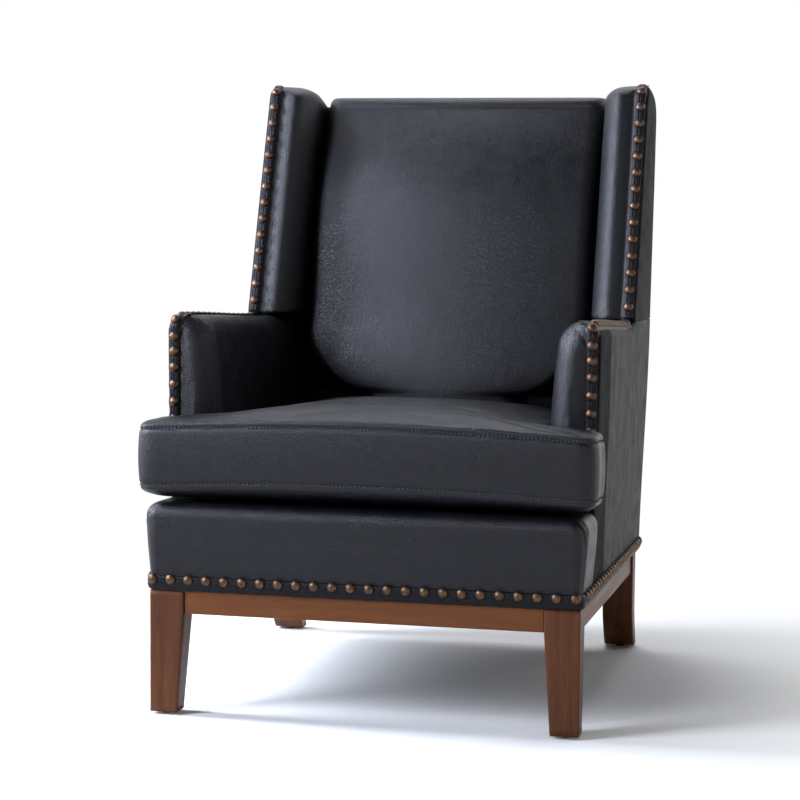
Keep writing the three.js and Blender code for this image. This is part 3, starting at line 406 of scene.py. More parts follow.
def outward(points, faces):
    """The faces, turned round if the volume they enclose comes out negative."""
    tris = np.array([f[:3] for f in faces] + [[f[0], f[2], f[3]] for f in faces if len(f) == 4])
    a, b, c = (points[tris[:, k]] for k in range(3))
    volume = np.einsum("ij,ij->i", a, np.cross(b, c)).sum()
    return faces if volume > 0 else [f[::-1] for f in faces]


def new_mesh(name, points, faces, closed=True):
    """A smooth-shaded mesh object at the origin, a closed one with its faces outwards."""
    mesh = bpy.data.meshes.new(name)
    points = np.asarray(points, dtype=float).reshape(-1, 3)
    mesh.from_pydata(points.tolist(), [], outward(points, faces) if closed else faces)
    shade_smooth(mesh)
    obj = bpy.data.objects.new(name, mesh)
    bpy.context.scene.collection.objects.link(obj)
    return obj


def shade_smooth(mesh):
    """Shades every face of a mesh smoothly."""
    mesh.polygons.foreach_set("use_smooth", [True] * len(mesh.polygons))
    mesh.update()


def coordinates(mesh):
    """A mesh's points as an array."""
    out = np.empty(len(mesh.vertices) * 3)
    mesh.vertices.foreach_get("co", out)
    return out.reshape(-1, 3)


def normals_of(mesh):
    """A mesh's vertex normals as an array."""
    out = np.empty(len(mesh.vertices) * 3, dtype=np.float32)
    mesh.vertex_normals.foreach_get("vector", out)
    return out.reshape(-1, 3).astype(float)


def set_coordinates(mesh, points):
    """Puts an array of points into a mesh."""
    mesh.vertices.foreach_set("co", np.asarray(points, dtype=float).ravel())
    mesh.update()


def finish_piece(obj, finish, nodes=(), body="chair"):
    """Gives a piece its finish, the body it rides on and the frame's solids it stands for."""
    obj.data.materials.clear()
    obj.data.materials.append(finish_of(finish))
    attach(obj, body)
    if nodes:
        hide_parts(*nodes)


def apply_modifiers(obj):
    """Puts the result of a piece's modifiers into its mesh."""
    graph = bpy.context.evaluated_depsgraph_get()
    mesh = bpy.data.meshes.new_from_object(obj.evaluated_get(graph))
    old = obj.data
    obj.modifiers.clear()
    obj.data = mesh
    bpy.data.meshes.remove(old)
    shade_smooth(mesh)


def mirrored_copy(points, side):
    """The points of the right side, or of the left with x turned round."""
    out = np.array(points)
    out[..., 0] *= side
    return out


# Cushioning


def nearest(points, line):
    """For each point, the distance to the nearest point of a line and that point's number."""
    best, where = [], []
    batch = 6000
    for part in np.array_split(points, max(1, len(points) // batch)):
        d = (part**2).sum(1)[:, None] + (line**2).sum(1)[None] - 2 * part @ line.T
        k = d.argmin(1)
        where.append(k)
        best.append(np.sqrt(np.maximum(d[np.arange(len(part)), k], 0)))
    return np.concatenate(best), np.concatenate(where)


def filled(obj, held, cap):
    """Blows a closed cover up as cloth under its filling's pressure. The cover is remeshed evenly first.
    held(points) gives each point's share, 0 to 1, that stays where it is; no point moves further than
    the cap."""
    voxel, pressure, frames, levels = 0.006, 3.0, 20, 10
    remesh = obj.modifiers.new("Remesh", "REMESH")
    remesh.mode = "VOXEL"
    remesh.voxel_size = voxel
    apply_modifiers(obj)
    start = coordinates(obj.data)
    group = obj.vertex_groups.new(name="held")
    shares = held(start)
    for level in np.linspace(1 / levels, 1, levels):
        picked = np.flatnonzero(np.abs(shares - level) <= 0.5 / levels)
        if len(picked):
            group.add(picked.tolist(), float(level), "REPLACE")
    cloth = obj.modifiers.new("Cloth", "CLOTH")
    settings = cloth.settings
    settings.quality = 6
    settings.mass = 0.4
    settings.tension_stiffness = settings.compression_stiffness = 18
    settings.shear_stiffness = 8
    settings.bending_stiffness = 2.5
    settings.use_pressure = True
    settings.uniform_pressure_force = pressure
    settings.vertex_group_mass = group.name
    settings.effector_weights.gravity = 0
    cloth.collision_settings.use_collision = False
    cloth.point_cache.frame_start = 1
    cloth.point_cache.frame_end = frames
    scene = bpy.context.scene
    for number in range(1, frames + 1):
        scene.frame_set(number)
    graph = bpy.context.evaluated_depsgraph_get()
    moved = coordinates(obj.evaluated_get(graph).data) - start
    length = np.linalg.norm(moved, axis=1, keepdims=True)
    moved *= np.minimum(1, cap * np.tanh(length / cap) / np.maximum(length, 1e-9))
    obj.modifiers.clear()
    obj.vertex_groups.clear()
    set_coordinates(obj.data, start + moved)
    scene.frame_set(1)


def rounded_off(obj):
    """One subdivision, put into the mesh."""
    sub = obj.modifiers.new("Subdivision", "SUBSURF")
    sub.levels = sub.render_levels = 1
    apply_modifiers(obj)


def crease(obj, line, depth, width, pull=0.0):
    """Draws the cover in along a line: depth times exp(-(distance / width)^2), along the normals. A pull
    also draws it sideways towards the line, by that share of the distance times the same bell."""
    points, normals = coordinates(obj.data), normals_of(obj.data)
    far, k = nearest(points, line)
    fade = bell(far / width)[:, None]
    across = line[k] - points
    across -= normals * (across * normals).sum(1)[:, None]
    set_coordinates(obj.data, points + (across * pull - normals * depth) * fade)


def laid_on(obj, line, lift=0.0):
    """A line's points moved onto the cover, and the cover's normals there."""
    points, normals = coordinates(obj.data), normals_of(obj.data)
    _, k = nearest(line, points)
    normal = normals[k]
    height = ((points[k] - line) * normal).sum(1)[:, None]
    return line + normal * (height + lift), normal


def arc_line(places, count=40):
    """A smooth line through three places: a quadratic curve."""
    a, b, c = places
    t = np.linspace(0, 1, count)[:, None]
    return (1 - t) ** 2 * a + 2 * t * (1 - t) * (2 * b - (a + c) / 2) + t**2 * c


def folds_from(base, rows):
    """Folds of the leather. Each row has three places, measured from the base point, a depth and a
    width."""
    return [(arc_line(np.array(row[:3], dtype=float) + base), row[3], row[4]) for row in rows]


def fold_in(obj, folds, side):
    """Draws folds into the cover on one side of the chair."""
    for line, depth, width in folds:
        line, _ = laid_on(obj, pitched(mirrored_copy(line, side)))
        crease(obj, line, depth, width)


def resampled(line, step):
    """A closed line's points at equal steps."""
    loop = np.concatenate([line, line[:1]])
    run = np.concatenate([[0], np.cumsum(np.linalg.norm(np.diff(loop, axis=0), axis=1))])
    count = max(3, round(run[-1] / step))
    at = np.arange(count) * run[-1] / count
    return np.stack([np.interp(at, run, loop[:, k]) for k in range(3)], -1)


def unit(v):
    """Vectors drawn out or in to a length of 1."""
    return v / np.maximum(np.linalg.norm(v, axis=-1, keepdims=True), 1e-12)


def circles(u, v, count):
    """For each place a circle of unit radius in the plane of u and v: u cos(a) + v sin(a)."""
    turn = np.arange(count) * 2 * np.pi / count
    ring = u[:, None, None] * np.cos(turn)[None, None, :, None]
    return ring + v[:, None, None] * np.sin(turn)[None, None, :, None]


def copies(faces, count, points_each):
    """The faces of one form, repeated for a number of copies of its points."""
    starts = (np.arange(count) * points_each)[:, None, None]
    return (faces[None] + starts).reshape(-1, faces.shape[1]).tolist()


def stitches(name, at, normal, along, length, radius):
    """Short spindles of thread: a hexagon carried along each stitch, wide in the middle."""
    sides = 6
    stations = np.array([-0.5, -0.36, 0, 0.36, 0.5])
    wide = np.array([0.25, 0.85, 1, 0.85, 0.25])
    sink = np.array([-0.9, -0.2, 0.25, -0.2, -0.9])
    centre = at[:, None] + along[:, None] * (stations * length)[None, :, None]
    centre = centre + normal[:, None] * (sink * radius)[None, :, None]
    ring = circles(unit(np.cross(normal, along)), normal, sides)
    points = centre[:, :, None] + ring * (radius * wide)[None, :, None, None]
    head = np.array([[5, 4, 3, 2], [5, 2, 1, 0]])
    tail = (len(stations) - 1) * sides + np.array([[0, 1, 2, 3], [0, 3, 4, 5]])
    one = np.concatenate([ring_faces(len(stations), sides), head, tail])
    return new_mesh(name, points, copies(one, len(at), len(stations) * sides))


def nail_heads(name, at, normal, radius, height):
    """Domed nail heads: r = R cos(a), h = H sin(a) from the rim to the top, turned round each normal."""
    sides = 12
    helper = np.where(np.abs(normal[:, :1]) < 0.9, [[1.0, 0, 0]], [[0, 1.0, 0]])
    u = unit(np.cross(normal, helper))
    rise = np.array([-0.30, 0.05, 0.36, 0.70, 0.92])
    wide = np.array([0.97, 1.0, 0.93, 0.71, 0.38])
    points = at[:, None, None] + circles(u, np.cross(normal, u), sides) * (radius * wide)[None, :, None, None]
    points = points + normal[:, None, None] * (height * rise)[None, :, None, None]
    tops = at + normal * height
    floors = at - normal * (0.35 * height)
    points = np.concatenate([points.reshape(len(at), -1, 3), tops[:, None], floors[:, None]], 1)
    j = np.arange(sides)
    k = (j + 1) % sides
    last, count = (len(rise) - 1) * sides, len(rise) * sides
    cap = np.stack([last + j, last + k, np.full(sides, count)], -1)
    base = np.stack([k, j, np.full(sides, count + 1)], -1)
    faces = []
    for part in (ring_faces(len(rise), sides), cap, base):
        faces += copies(part, len(at), count + 2)
    return new_mesh(name, points, faces)


# Finishes


def tree(name):
    """An empty node material and its shader."""
    material = bpy.data.materials.new(name)
    material.use_nodes = True
    material.node_tree.nodes.clear()
    shader = node(material, "ShaderNodeBsdfPrincipled")
    node(material, "ShaderNodeOutputMaterial", None, {0: shader.outputs[0]})
    return material, shader


def node(owner, kind, values=None, links=None, **settings):
    """A node with its settings, input values and links, in a material or in the world."""
    made = owner.node_tree.nodes.new(kind)
    for key, value in settings.items():
        setattr(made, key, value)
    for key, value in (values or {}).items():
        made.inputs[key].default_value = value
    for key, source in (links or {}).items():
        owner.node_tree.links.new(source, made.inputs[key])
    return made


def link(owner, source, target):
    """Links an output to an input."""
    owner.node_tree.links.new(source, target)


def worked_out(owner, operation, first, second=None, third=None, clamped=False):
    """The result of a sum; each term is a number or an output."""
    made = node(owner, "ShaderNodeMath", operation=operation, use_clamp=clamped)
    for socket, term in zip(made.inputs, (first, second, third)):
        if isinstance(term, bpy.types.NodeSocket):
            link(owner, term, socket)
        elif term is not None:
            socket.default_value = term
    return made.outputs[0]


def mapped(material, scale=(1, 1, 1)):
    """Object coordinates, stretched."""
    place = node(material, "ShaderNodeTexCoord").outputs["Object"]
    return node(material, "ShaderNodeMapping", {"Scale": scale}, {"Vector": place}).outputs[0]


def noise(material, place, scale, detail, distortion=0.0):
    """Cloudy noise at a place."""
    values = {"Scale": scale, "Detail": detail, "Distortion": distortion}
    return node(material, "ShaderNodeTexNoise", values, {"Vector": place}).outputs[0]


def ramp(owner, factor, low, high, dark, light):
    """A value between low and high, turned into one between dark and light."""
    values = {"From Min": low, "From Max": high, "To Min": dark, "To Max": light}
    return node(owner, "ShaderNodeMapRange", values, {"Value": factor}).outputs[0]


def over(material, factor, below, above):
    """One colour laid over another by a factor; each is a colour or an output."""
    mix = node(material, "ShaderNodeMix", None, {"Factor": factor}, data_type="RGBA")
    for socket, value in ((mix.inputs[6], below), (mix.inputs[7], above)):
        if isinstance(value, bpy.types.NodeSocket):
            link(material, value, socket)
        else:
            socket.default_value = (*value, 1)
    return mix.outputs[2]


def shade(colour, share):
    """A colour made darker or lighter by a share of itself."""
    return tuple(min(1, c * share) for c in colour)


def tones(material, colour, factor, low, high):
    """A colour mixed between its darker and lighter tone by a factor."""
    return over(material, factor, shade(colour, low), shade(colour, high))


def worn(material, below, colour, reach):
    """A colour rubbed off the edges: the surface's pointiness between 0.52 and a reach lays it over."""
    edge = node(material, "ShaderNodeNewGeometry").outputs["Pointiness"]
    return over(material, ramp(material, edge, 0.52, reach, 0.0, 0.35), below, colour)


def bumped(material, height, strength, distance, below=None):
    """The normal of a height, on top of another normal."""
    links = {"Height": height}
    if below:
        links["Normal"] = below
    return node(material, "ShaderNodeBump", {"Strength": strength, "Distance": distance}, links).outputs[0]


def wired(material, shader, colour, rough, normal):
    """The material, with its shader's colour, roughness and normal linked."""
    link(material, colour, shader.inputs["Base Color"])
    link(material, normal, shader.inputs["Normal"])
    if isinstance(rough, bpy.types.NodeSocket):
        link(material, rough, shader.inputs["Roughness"])
    else:
        shader.inputs["Roughness"].default_value = rough
    return material


def leather_finish(name, colour, roughness, grain=0.42, gloss=0.33):
    """Pebbled leather: creased cells and pores as bump, cloudy colour, painted shade darkening the creases,
    edges rubbed lighter.
    """
    material, shader = tree(name)
    place = mapped(material)
    clouds = ramp(material, noise(material, place, 7.0, 5.0), 0.3, 0.7, 0.0, 1.0)
    base = worn(material, tones(material, colour, clouds, 0.82, 1.20), shade(colour, 1.9), 0.60)
    values = {"Scale": 430.0, "Randomness": 0.9}
    cells = node(material, "ShaderNodeTexVoronoi", values, {"Vector": place}, feature="DISTANCE_TO_EDGE")
    creases = ramp(material, cells.outputs[0], 0.0, 0.34, 0.0, 1.0)
    # Painted shade: the colour is darkened to 0.45 of itself along the grain's creases.
    base = over(material, creases, shade(colour, 0.45), base)
    pebbles = worked_out(material, "MULTIPLY_ADD", noise(material, place, 900.0, 3.0), 0.45, creases)
    fine = bumped(material, pebbles, grain, 0.0008)
    rumple = noise(material, place, 26.0, 5.0)
    soft = bumped(material, rumple, 0.11, 0.005, fine)
    rough = ramp(material, rumple, 0.3, 0.7, roughness - 0.07, roughness + 0.07)
    shader.inputs["Specular IOR Level"].default_value = gloss
    shader.inputs["Specular Tint"].default_value = (0.92, 0.93, 1.0, 1)
    return wired(material, shader, base, rough, soft)


def wood_finish(name, colour, axis, roughness=0.42):
    """Stained wood: streaks drawn out along one axis, fine pores, darker in the grain."""
    material, shader = tree(name)
    scale = [1.0, 1.0, 1.0]
    scale[axis] = 0.06
    place = mapped(material, tuple(scale))
    streaks = noise(material, place, 62.0, 6.0, 0.6)
    grain = worked_out(material, "MULTIPLY_ADD", noise(material, place, 420.0, 3.0), 0.4, streaks)
    tone = ramp(material, grain, 0.45, 0.95, 0.0, 1.0)
    base = worn(material, tones(material, colour, tone, 0.62, 1.38), shade(colour, 1.8), 0.62)
    rough = ramp(material, tone, 0.0, 1.0, roughness + 0.10, roughness - 0.05)
    shader.inputs["Specular IOR Level"].default_value = 0.15
    shader.inputs["Coat Weight"].default_value = 0.06
    shader.inputs["Coat Roughness"].default_value = 0.3
    return wired(material, shader, base, rough, bumped(material, grain, 0.22, 0.0005))


def nail_finish(name, colour):
    """Antique metal: bright on the dome, brown in blotches."""
    material, shader = tree(name)
    blotch = noise(material, mapped(material), 260.0, 4.0)
    tone = ramp(material, blotch, 0.35, 0.65, 0.0, 1.0)
    rough = ramp(material, tone, 0.0, 1.0, 0.55, 0.38)
    shader.inputs["Metallic"].default_value = 1.0
    normal = bumped(material, blotch, 0.15, 0.0004)
    return wired(material, shader, tones(material, colour, tone, 0.55, 1.15), rough, normal)


def woven_finish(name, colour, pitch):
    """Plain weave: two crossed waves at the thread pitch."""
    material, shader = tree(name)
    place = node(material, "ShaderNodeTexCoord").outputs["Object"]
    split = node(material, "ShaderNodeSeparateXYZ", None, {"Vector": place})
    waves = []
    for axis in (0, 1):
        scaled = worked_out(material, "MULTIPLY", split.outputs[axis], 2 * math.pi / pitch)
        waves.append(worked_out(material, "SINE", scaled))
    weave = worked_out(material, "MULTIPLY", *waves)
    tone = ramp(material, weave, -1.0, 1.0, 0.0, 1.0)
    normal = bumped(material, weave, 0.4, pitch / 4)
    return wired(material, shader, tones(material, colour, tone, 0.7, 1.3), 0.9, normal)


def grained_finish(name, colour, scale, roughness, metallic=0.0):
    """A plain finish with a fine grain in its colour, roughness and bump."""
    material, shader = tree(name)
    speck = noise(material, mapped(material), scale, 4.0)
    tone = ramp(material, speck, 0.3, 0.7, 0.0, 1.0)
    rough = ramp(material, tone, 0.0, 1.0, roughness + 0.05, roughness - 0.05)
    shader.inputs["Metallic"].default_value = metallic
    normal = bumped(material, speck, 0.3, 0.0003)
    return wired(material, shader, tones(material, colour, tone, 0.85, 1.15), rough, normal)


def finish_of(name):
    """A finish by its name, made once."""
    if name in bpy.data.materials:
        return bpy.data.materials[name]
    colours = bpy.context.scene.armchair_colours
    leather, side, thread, nail, leg, rail = (
        tuple(getattr(colours, key)) for key in ("leather", "side_leather", "thread", "nail", "leg", "rail")
    )
    finishes = {
        "Leather": (leather_finish, leather, 0.40),
        # Painted sheen: the side leather's colour is lighter than the leather's.
        "Side leather": (leather_finish, side, 0.55, 0.5, 0.12),
        # Painted shade: the strip is a darker copy of the side leather, 0.6 of its colour.
        "Strip leather": (leather_finish, shade(side, 0.6), 0.65, 0.5, 0.03),
        "Wing leather": (leather_finish, leather, 0.60, 0.4, 0.05),
        "Band leather": (leather_finish, shade(leather, 0.6), 0.46, 0.4, 0.18),
        "Thread": (grained_finish, thread, 2500.0, 0.7),
        "Antique nail": (nail_finish, nail),
        "Walnut leg": (wood_finish, leg, 2),
        "Walnut rail across": (wood_finish, rail, 0),
        "Walnut rail along": (wood_finish, rail, 1),
        "Frame wood": (wood_finish, (0.50, 0.34, 0.19), 2, 0.7),
        "Steel": (grained_finish, (0.42, 0.42, 0.43), 800.0, 0.38, 1.0),
        "Black cloth": (woven_finish, (0.012, 0.012, 0.013), 0.0016),
        "Webbing": (woven_finish, (0.12, 0.09, 0.05), 0.0030),
        "Deck cloth": (woven_finish, (0.016, 0.016, 0.018), 0.0020),
        "Glide": (grained_finish, (0.010, 0.010, 0.010), 500.0, 0.45),
    }
    make, *values = finishes[name]
    return make(name, *values)


# Pieces


def soft_outline(inset):
    """The cushion's T outline, its corners rounded by quadratic curves, every side moved in by an inset
    and drawn in between its corners by a half sine."""
    corner_steps, step = 8, 0.007
    half, stem = WIDTH / 2 - inset, STEM - inset
    front, ear, rear = FRONT + inset, EAR_REAR - inset, CUSHION_REAR - inset
    right = [(half, front), (half, ear), (stem, ear), (stem, rear)]
    places = np.array([(-half, front), *right, *((-x, y) for x, y in right[:0:-1])])
    sizes = np.array([0.034, 0.034, 0.024, 0.008, 0.024, 0.024, 0.008, 0.024])
    radius = np.maximum(sizes - inset / 2, sizes / 6)
    draw = np.array([0.0, 0.0025, 0.0, 0.005, 0.005, 0.005, 0.0, 0.0025])
    spans = np.array([0.68, 0.08, 0.08, 0.43, 0.48, 0.43, 0.08, 0.08])
    parts = []
    for i in range(8):
        at, before, after = places[i], places[i - 1], places[(i + 1) % 8]
        enter = at + unit(before - at) * radius[i]
        leave = at + unit(after - at) * radius[i]
        t = np.linspace(0, 1, corner_steps + 1)[:, None]
        parts.append((1 - t) ** 2 * enter + 2 * t * (1 - t) * at + t**2 * leave)
        end = after + unit(at - after) * radius[(i + 1) % 8]
        t = np.linspace(0, 1, max(2, round(spans[i] / step)) + 1)[1:-1, None]
        along = unit(end - leave)
        inward = np.array([-along[1], along[0]])
        parts.append(leave + (end - leave) * t + inward * draw[i] * np.sin(np.pi * t))
    return np.concatenate(parts)


def seam_height(outline, height):
    """A seam's height: it rises towards the front's middle, by a blend times 1 - (x / half)^2."""
    ahead = smooth((EAR_REAR - outline[:, 1]) / (EAR_REAR - FRONT))
    return height + SEAM_LIFT * ahead * (1 - (outline[:, 0] / (WIDTH / 2)) ** 2)


def cushion_form():
    """Rings from the underside over the boxing to the crown, every ring the T outline moved in."""
    depth = (EAR_REAR - FRONT) / 2 - CUSHION_BULGE - CUSHION_SHRINK - SEAM_TUCK
    middle = (FRONT + EAR_REAR) / 2
    shares = np.array([0, 0.03, 0.08, 0.15, 0.25, 0.38, 0.52, 0.68, 0.84, 0.96])
    swell = np.sqrt(1 - (1 - shares) ** 2)
    floor, top = CUSHION_FLOOR + CUSHION_SHRINK, CUSHION_TOP - CUSHION_SHRINK

    def domed(ring, rise):
        """Lowered by 0.4 (x / half)^2 towards the sides and by 0.42 t^2 towards the rear."""
        ends = 0.4 * (ring[:, 0] / (WIDTH / 2)) ** 2
        behind = np.maximum(0, (ring[:, 1] - middle) / (CUSHION_REAR - middle))
        ring[:, 2] += (top - UPPER_SEAM) * rise * (1 - ends - 0.42 * behind**2)
        return ring

    def ring(inset, height, lifted):
        """The outline moved in, at a height that takes a share of the seam's rise."""
        outline = soft_outline(inset + CUSHION_SHRINK)
        return np.column_stack([outline, height + seam_height(outline, 0.0) * lifted])

    def drawn_in(edge, share, height):
        """A ring's copy, drawn in towards the middle by a share."""
        inner = np.column_stack([edge[:, 0] * share, middle + (edge[:, 1] - middle) * share])
        return np.column_stack([inner, np.full(len(inner), height)])

    rings = []
    for share, rise in zip(shares[::-1], swell[::-1]):
        height = LOWER_SEAM - (LOWER_SEAM - floor) * rise
        rings.append(ring(CUSHION_BULGE + depth * share, height, 1 - share))
    for t in np.linspace(0, 1, 9)[1:-1]:
        height = LOWER_SEAM + (UPPER_SEAM - LOWER_SEAM) * t
        rings.append(ring(CUSHION_BULGE * (1 - np.sin(np.pi * t)), height, 1))
    for share, rise in zip(shares, swell):
        rings.append(domed(ring(CUSHION_BULGE + depth * share, UPPER_SEAM, 1 - share), rise))
    inner_shares = (0.2, 0.4, 0.6, 0.8)
    under = [drawn_in(rings[0], share, floor) for share in inner_shares]
    crown = [domed(drawn_in(rings[-1], share, UPPER_SEAM), 1) for share in inner_shares[::-1]]
    points, faces = capped(np.array(under + rings + crown), [0, middle, floor], [0, middle, top])
    return pitched(points), faces


def cushion_seam(height):
    """One seam as a closed line in the body's place."""
    outline = soft_outline(CUSHION_BULGE + CUSHION_SHRINK)
    return pitched(np.column_stack([outline, seam_height(outline, height)]))


def cushion_held(points):
    """What the filling leaves in place: all of the underside and the seams, most of the boxing."""
    seams = np.concatenate([cushion_seam(UPPER_SEAM), cushion_seam(LOWER_SEAM)])
    far, _ = nearest(points, seams)
    underside, seam_reach, boxing_reach = 0.003, 0.005, 0.020
    height = points[:, 2] + fall(points[:, 1])
    low = height < CUSHION_FLOOR + CUSHION_SHRINK + underside
    boxing = (height < seam_height(points, UPPER_SEAM)) & (height > seam_height(points, LOWER_SEAM))
    beside = np.where(boxing, 0.9 - 0.35 * np.clip(far / boxing_reach, 0, 1), 0.0)
    return np.where(low | (far < seam_reach), 1.0, beside)


def seat_cushion():
    """The loose cushion: a T-shaped cover, blown up between its two seams, with the seams drawn in and a
    line of stitches beside each."""
    sizes = bpy.context.scene.armchair_sizes
    obj = new_mesh("seat_cushion", *cushion_form())
    filled(obj, cushion_held, sizes.cushion_swell)
    rounded_off(obj)
    points = coordinates(obj.data)
    points[:, 2] = np.maximum(points[:, 2], CUSHION_FLOOR - fall(points[:, 1]))
    set_coordinates(obj.data, points)
    lines = (("upper", UPPER_SEAM - SEAM_TUCK, 1.0), ("lower", LOWER_SEAM + SEAM_TUCK, 0.7))
    step, width, pull = 0.001, 0.0034, 0.75
    for _, height, share in lines:
        line, _ = laid_on(obj, resampled(cushion_seam(height), step))
        crease(obj, line, share * sizes.seam_depth, width, pull)
    nodes = ("seat_cushion_cover", "seat_cushion_core")
    finish_piece(obj, "Leather", nodes, "cushion")
    lift, radius, length = 0.0007, 0.0011, sizes.stitch_length * 0.66
    for name, height, _ in lines:
        at, normal = laid_on(obj, resampled(cushion_seam(height), sizes.stitch_length), lift)
        along = unit(np.roll(at, -1, 0) - np.roll(at, 1, 0))
        thread = stitches(f"cushion_{name}_stitches", at, normal, along, length, radius)
        finish_piece(thread, "Thread", body="cushion")


def front_border():
    """The padded border: rounded rectangles whose face swells by a sine from the band up to a rounded top,
    its corners swelling a little beyond the sides."""
    band_top = BODY_FLOOR + BASE_BAND_WIDTH
    shoulder = BORDER_TOP - BORDER_ROUND
    corner, rear_corner, side_share, corner_share = 0.014, 0.002, 0.9, 1.4
    upright = np.concatenate([spread(BODY_FLOOR, band_top, 6), spread(band_top, shoulder, 26)[1:]])
    turn = quarter_turn(15)[1:]
    z = np.concatenate([upright, shoulder + BORDER_ROUND * np.sin(turn)])
    inset = np.concatenate([np.zeros(len(upright)), BORDER_ROUND * (1 - np.cos(turn))])
    rise = np.clip((z - band_top) / (shoulder - band_top), 0, 1)
    swell = BORDER_SWELL * np.sin(np.pi / 2 * rise)
    wide = outer_x(z) + swell * side_share - inset
    front, rear = BODY_FRONT - swell + inset, np.full(len(z), ARM_FRONT - FIT)
    radii = [corner + swell * corner_share] * 2 + [rear_corner] * 2
    ring = rounded_rect(-wide, front, wide, rear, radii, 14, [150, 20, 60, 20])
    obj = new_mesh("front_border_cover", *closed_rings(pitched(at_heights(ring, z))))
    pleats = folds_from(
        (BODY_HALF, FRONT, BORDER_TOP),
        (
            ((-0.0185, 0.012, 0), (-0.0075, 0.011, -0.012), (-0.0015, 0.014, -0.033), 0.0026, 0.0030),
            ((-0.0075, 0.022, 0), (-0.0005, 0.020, -0.009), (0.0025, 0.022, -0.025), 0.0020, 0.0028),
            ((-0.0015, 0.016, -0.039), (-0.0005, 0.015, -0.077), (-0.0025, 0.016, -0.113), 0.0012, 0.0040),
        ),
    )
    for side in SIDES.values():
        fold_in(obj, pleats, side)
    finish_piece(obj, "Leather", ("front_border",))


def arm_rings(y):
    """The arm's cross-sections at depths y: rounded rectangles that lean with the back and swell inwards
    by a sine."""
    lower, upper, front_round, crest_round = 0.002, 0.003, 0.003, 0.036
    slim, slim_from, slim_over, hollow = 0.011, 0.47, 0.15, 0.003
    depth = y - ARM_FRONT
    inner = ARM_INNER + quarter(depth, bpy.context.scene.armchair_sizes.arm_roll)
    outer = np.full(len(y), BODY_HALF - PANEL - FIT) - quarter(depth, front_round)
    top = arm_top(y) - quarter(depth, ARM_RADIUS)
    crest = np.minimum(crest_round, (outer - inner) * 0.8)
    floor = np.full(len(y), ARM_FLOOR)
    ring = rounded_rect(inner, floor, outer, top, [lower, lower, upper, crest], 12, [16, 90, 16, 90])
    x, z = ring[..., 0], ring[..., 1]
    t = np.clip((z - ARM_FLOOR) / (top[:, None] - ARM_FLOOR), 0, 1)
    z = z - arm_edge(x, y[:, None], z)
    is_outer = x > (inner + outer)[:, None] / 2
    slimmer = slim * np.clip((z - slim_from) / slim_over, 0, 1.1) ** 1.6
    x = x + np.where(is_outer, outer_x(z) - BODY_HALF, slimmer - hollow * np.sin(np.pi * t))
    rear = rear_y(ARM_TOP_REAR) - PANEL - FIT
    back = np.clip((depth - ARM_RADIUS) / (rear - ARM_FRONT - ARM_RADIUS), 0, None)[:, None]
    lean = (rear_y(z) - PANEL - FIT - rear) * back
    return np.stack([x, y[:, None] + lean, z], -1)


def arm_folds():
    """The small folds of the leather at an arm's front: beside the band's turn, at the inner corner and
    down the face."""
    return folds_from(
        (BODY_HALF, ARM_FRONT, ARM_TOP),
        (
            ((-0.0235, 0, -0.034), (-0.0305, 0, -0.022), (-0.0435, 0.003, -0.008), 0.0030, 0.0026),
            ((-0.0235, 0, -0.022), (-0.0275, 0, -0.012), (-0.0345, 0.006, -0.003), 0.0022, 0.0022),
            ((-0.0635, 0, -0.030), (-0.0645, 0.004, -0.018), (-0.0615, 0.012, -0.008), 0.0020, 0.0022),
            ((-0.0555, 0, -0.026), (-0.0565, 0.004, -0.014), (-0.0535, 0.012, -0.004), 0.0018, 0.0020),
            ((-0.0705, 0.004, -0.036), (-0.0715, 0.008, -0.026), (-0.0705, 0.016, -0.017), 0.0016, 0.0020),
            ((-0.0425, 0, -0.110), (-0.0395, 0, -0.180), (-0.0305, 0, -0.260), 0.0012, 0.0050),
            ((-0.0525, 0, -0.150), (-0.0515, 0, -0.200), (-0.0465, 0, -0.250), 0.0010, 0.0045),
        ),
    )


def arm_pads():
    """Both arm pads, their fronts plumped by a sine across."""
    rear = rear_y(ARM_TOP_REAR) - PANEL - FIT
    roll = bpy.context.scene.armchair_sizes.arm_roll
    plump_depth, plump_start, plump_width, top_fade = 0.060, 0.014, 0.070, 0.060
    rolled = ARM_FRONT + roll * (1 - np.cos(quarter_turn(22)))
    rings = arm_rings(np.concatenate([rolled, spread(ARM_FRONT + roll, rear, 110)[1:]]))
    for name, side in SIDES.items():
        points, faces = closed_rings(mirrored_copy(rings, side), np.linspace(0.97, 0.03, 40))
        plump = smooth((ARM_FRONT + plump_depth - points[:, 1]) / plump_depth)
        across = np.clip((np.abs(points[:, 0]) - ARM_INNER + plump_start) / plump_width, 0, 1)
        below_top = smooth((ARM_TOP - points[:, 2]) / top_fade)
        points[:, 1] -= ARM_PLUMP * plump * np.sin(np.pi * across) * below_top
        obj = new_mesh(f"arm_cover_{name}", pitched(points), faces)
        fold_in(obj, arm_folds(), side)
        finish_piece(obj, "Leather", (f"arm_pad_{name}",))


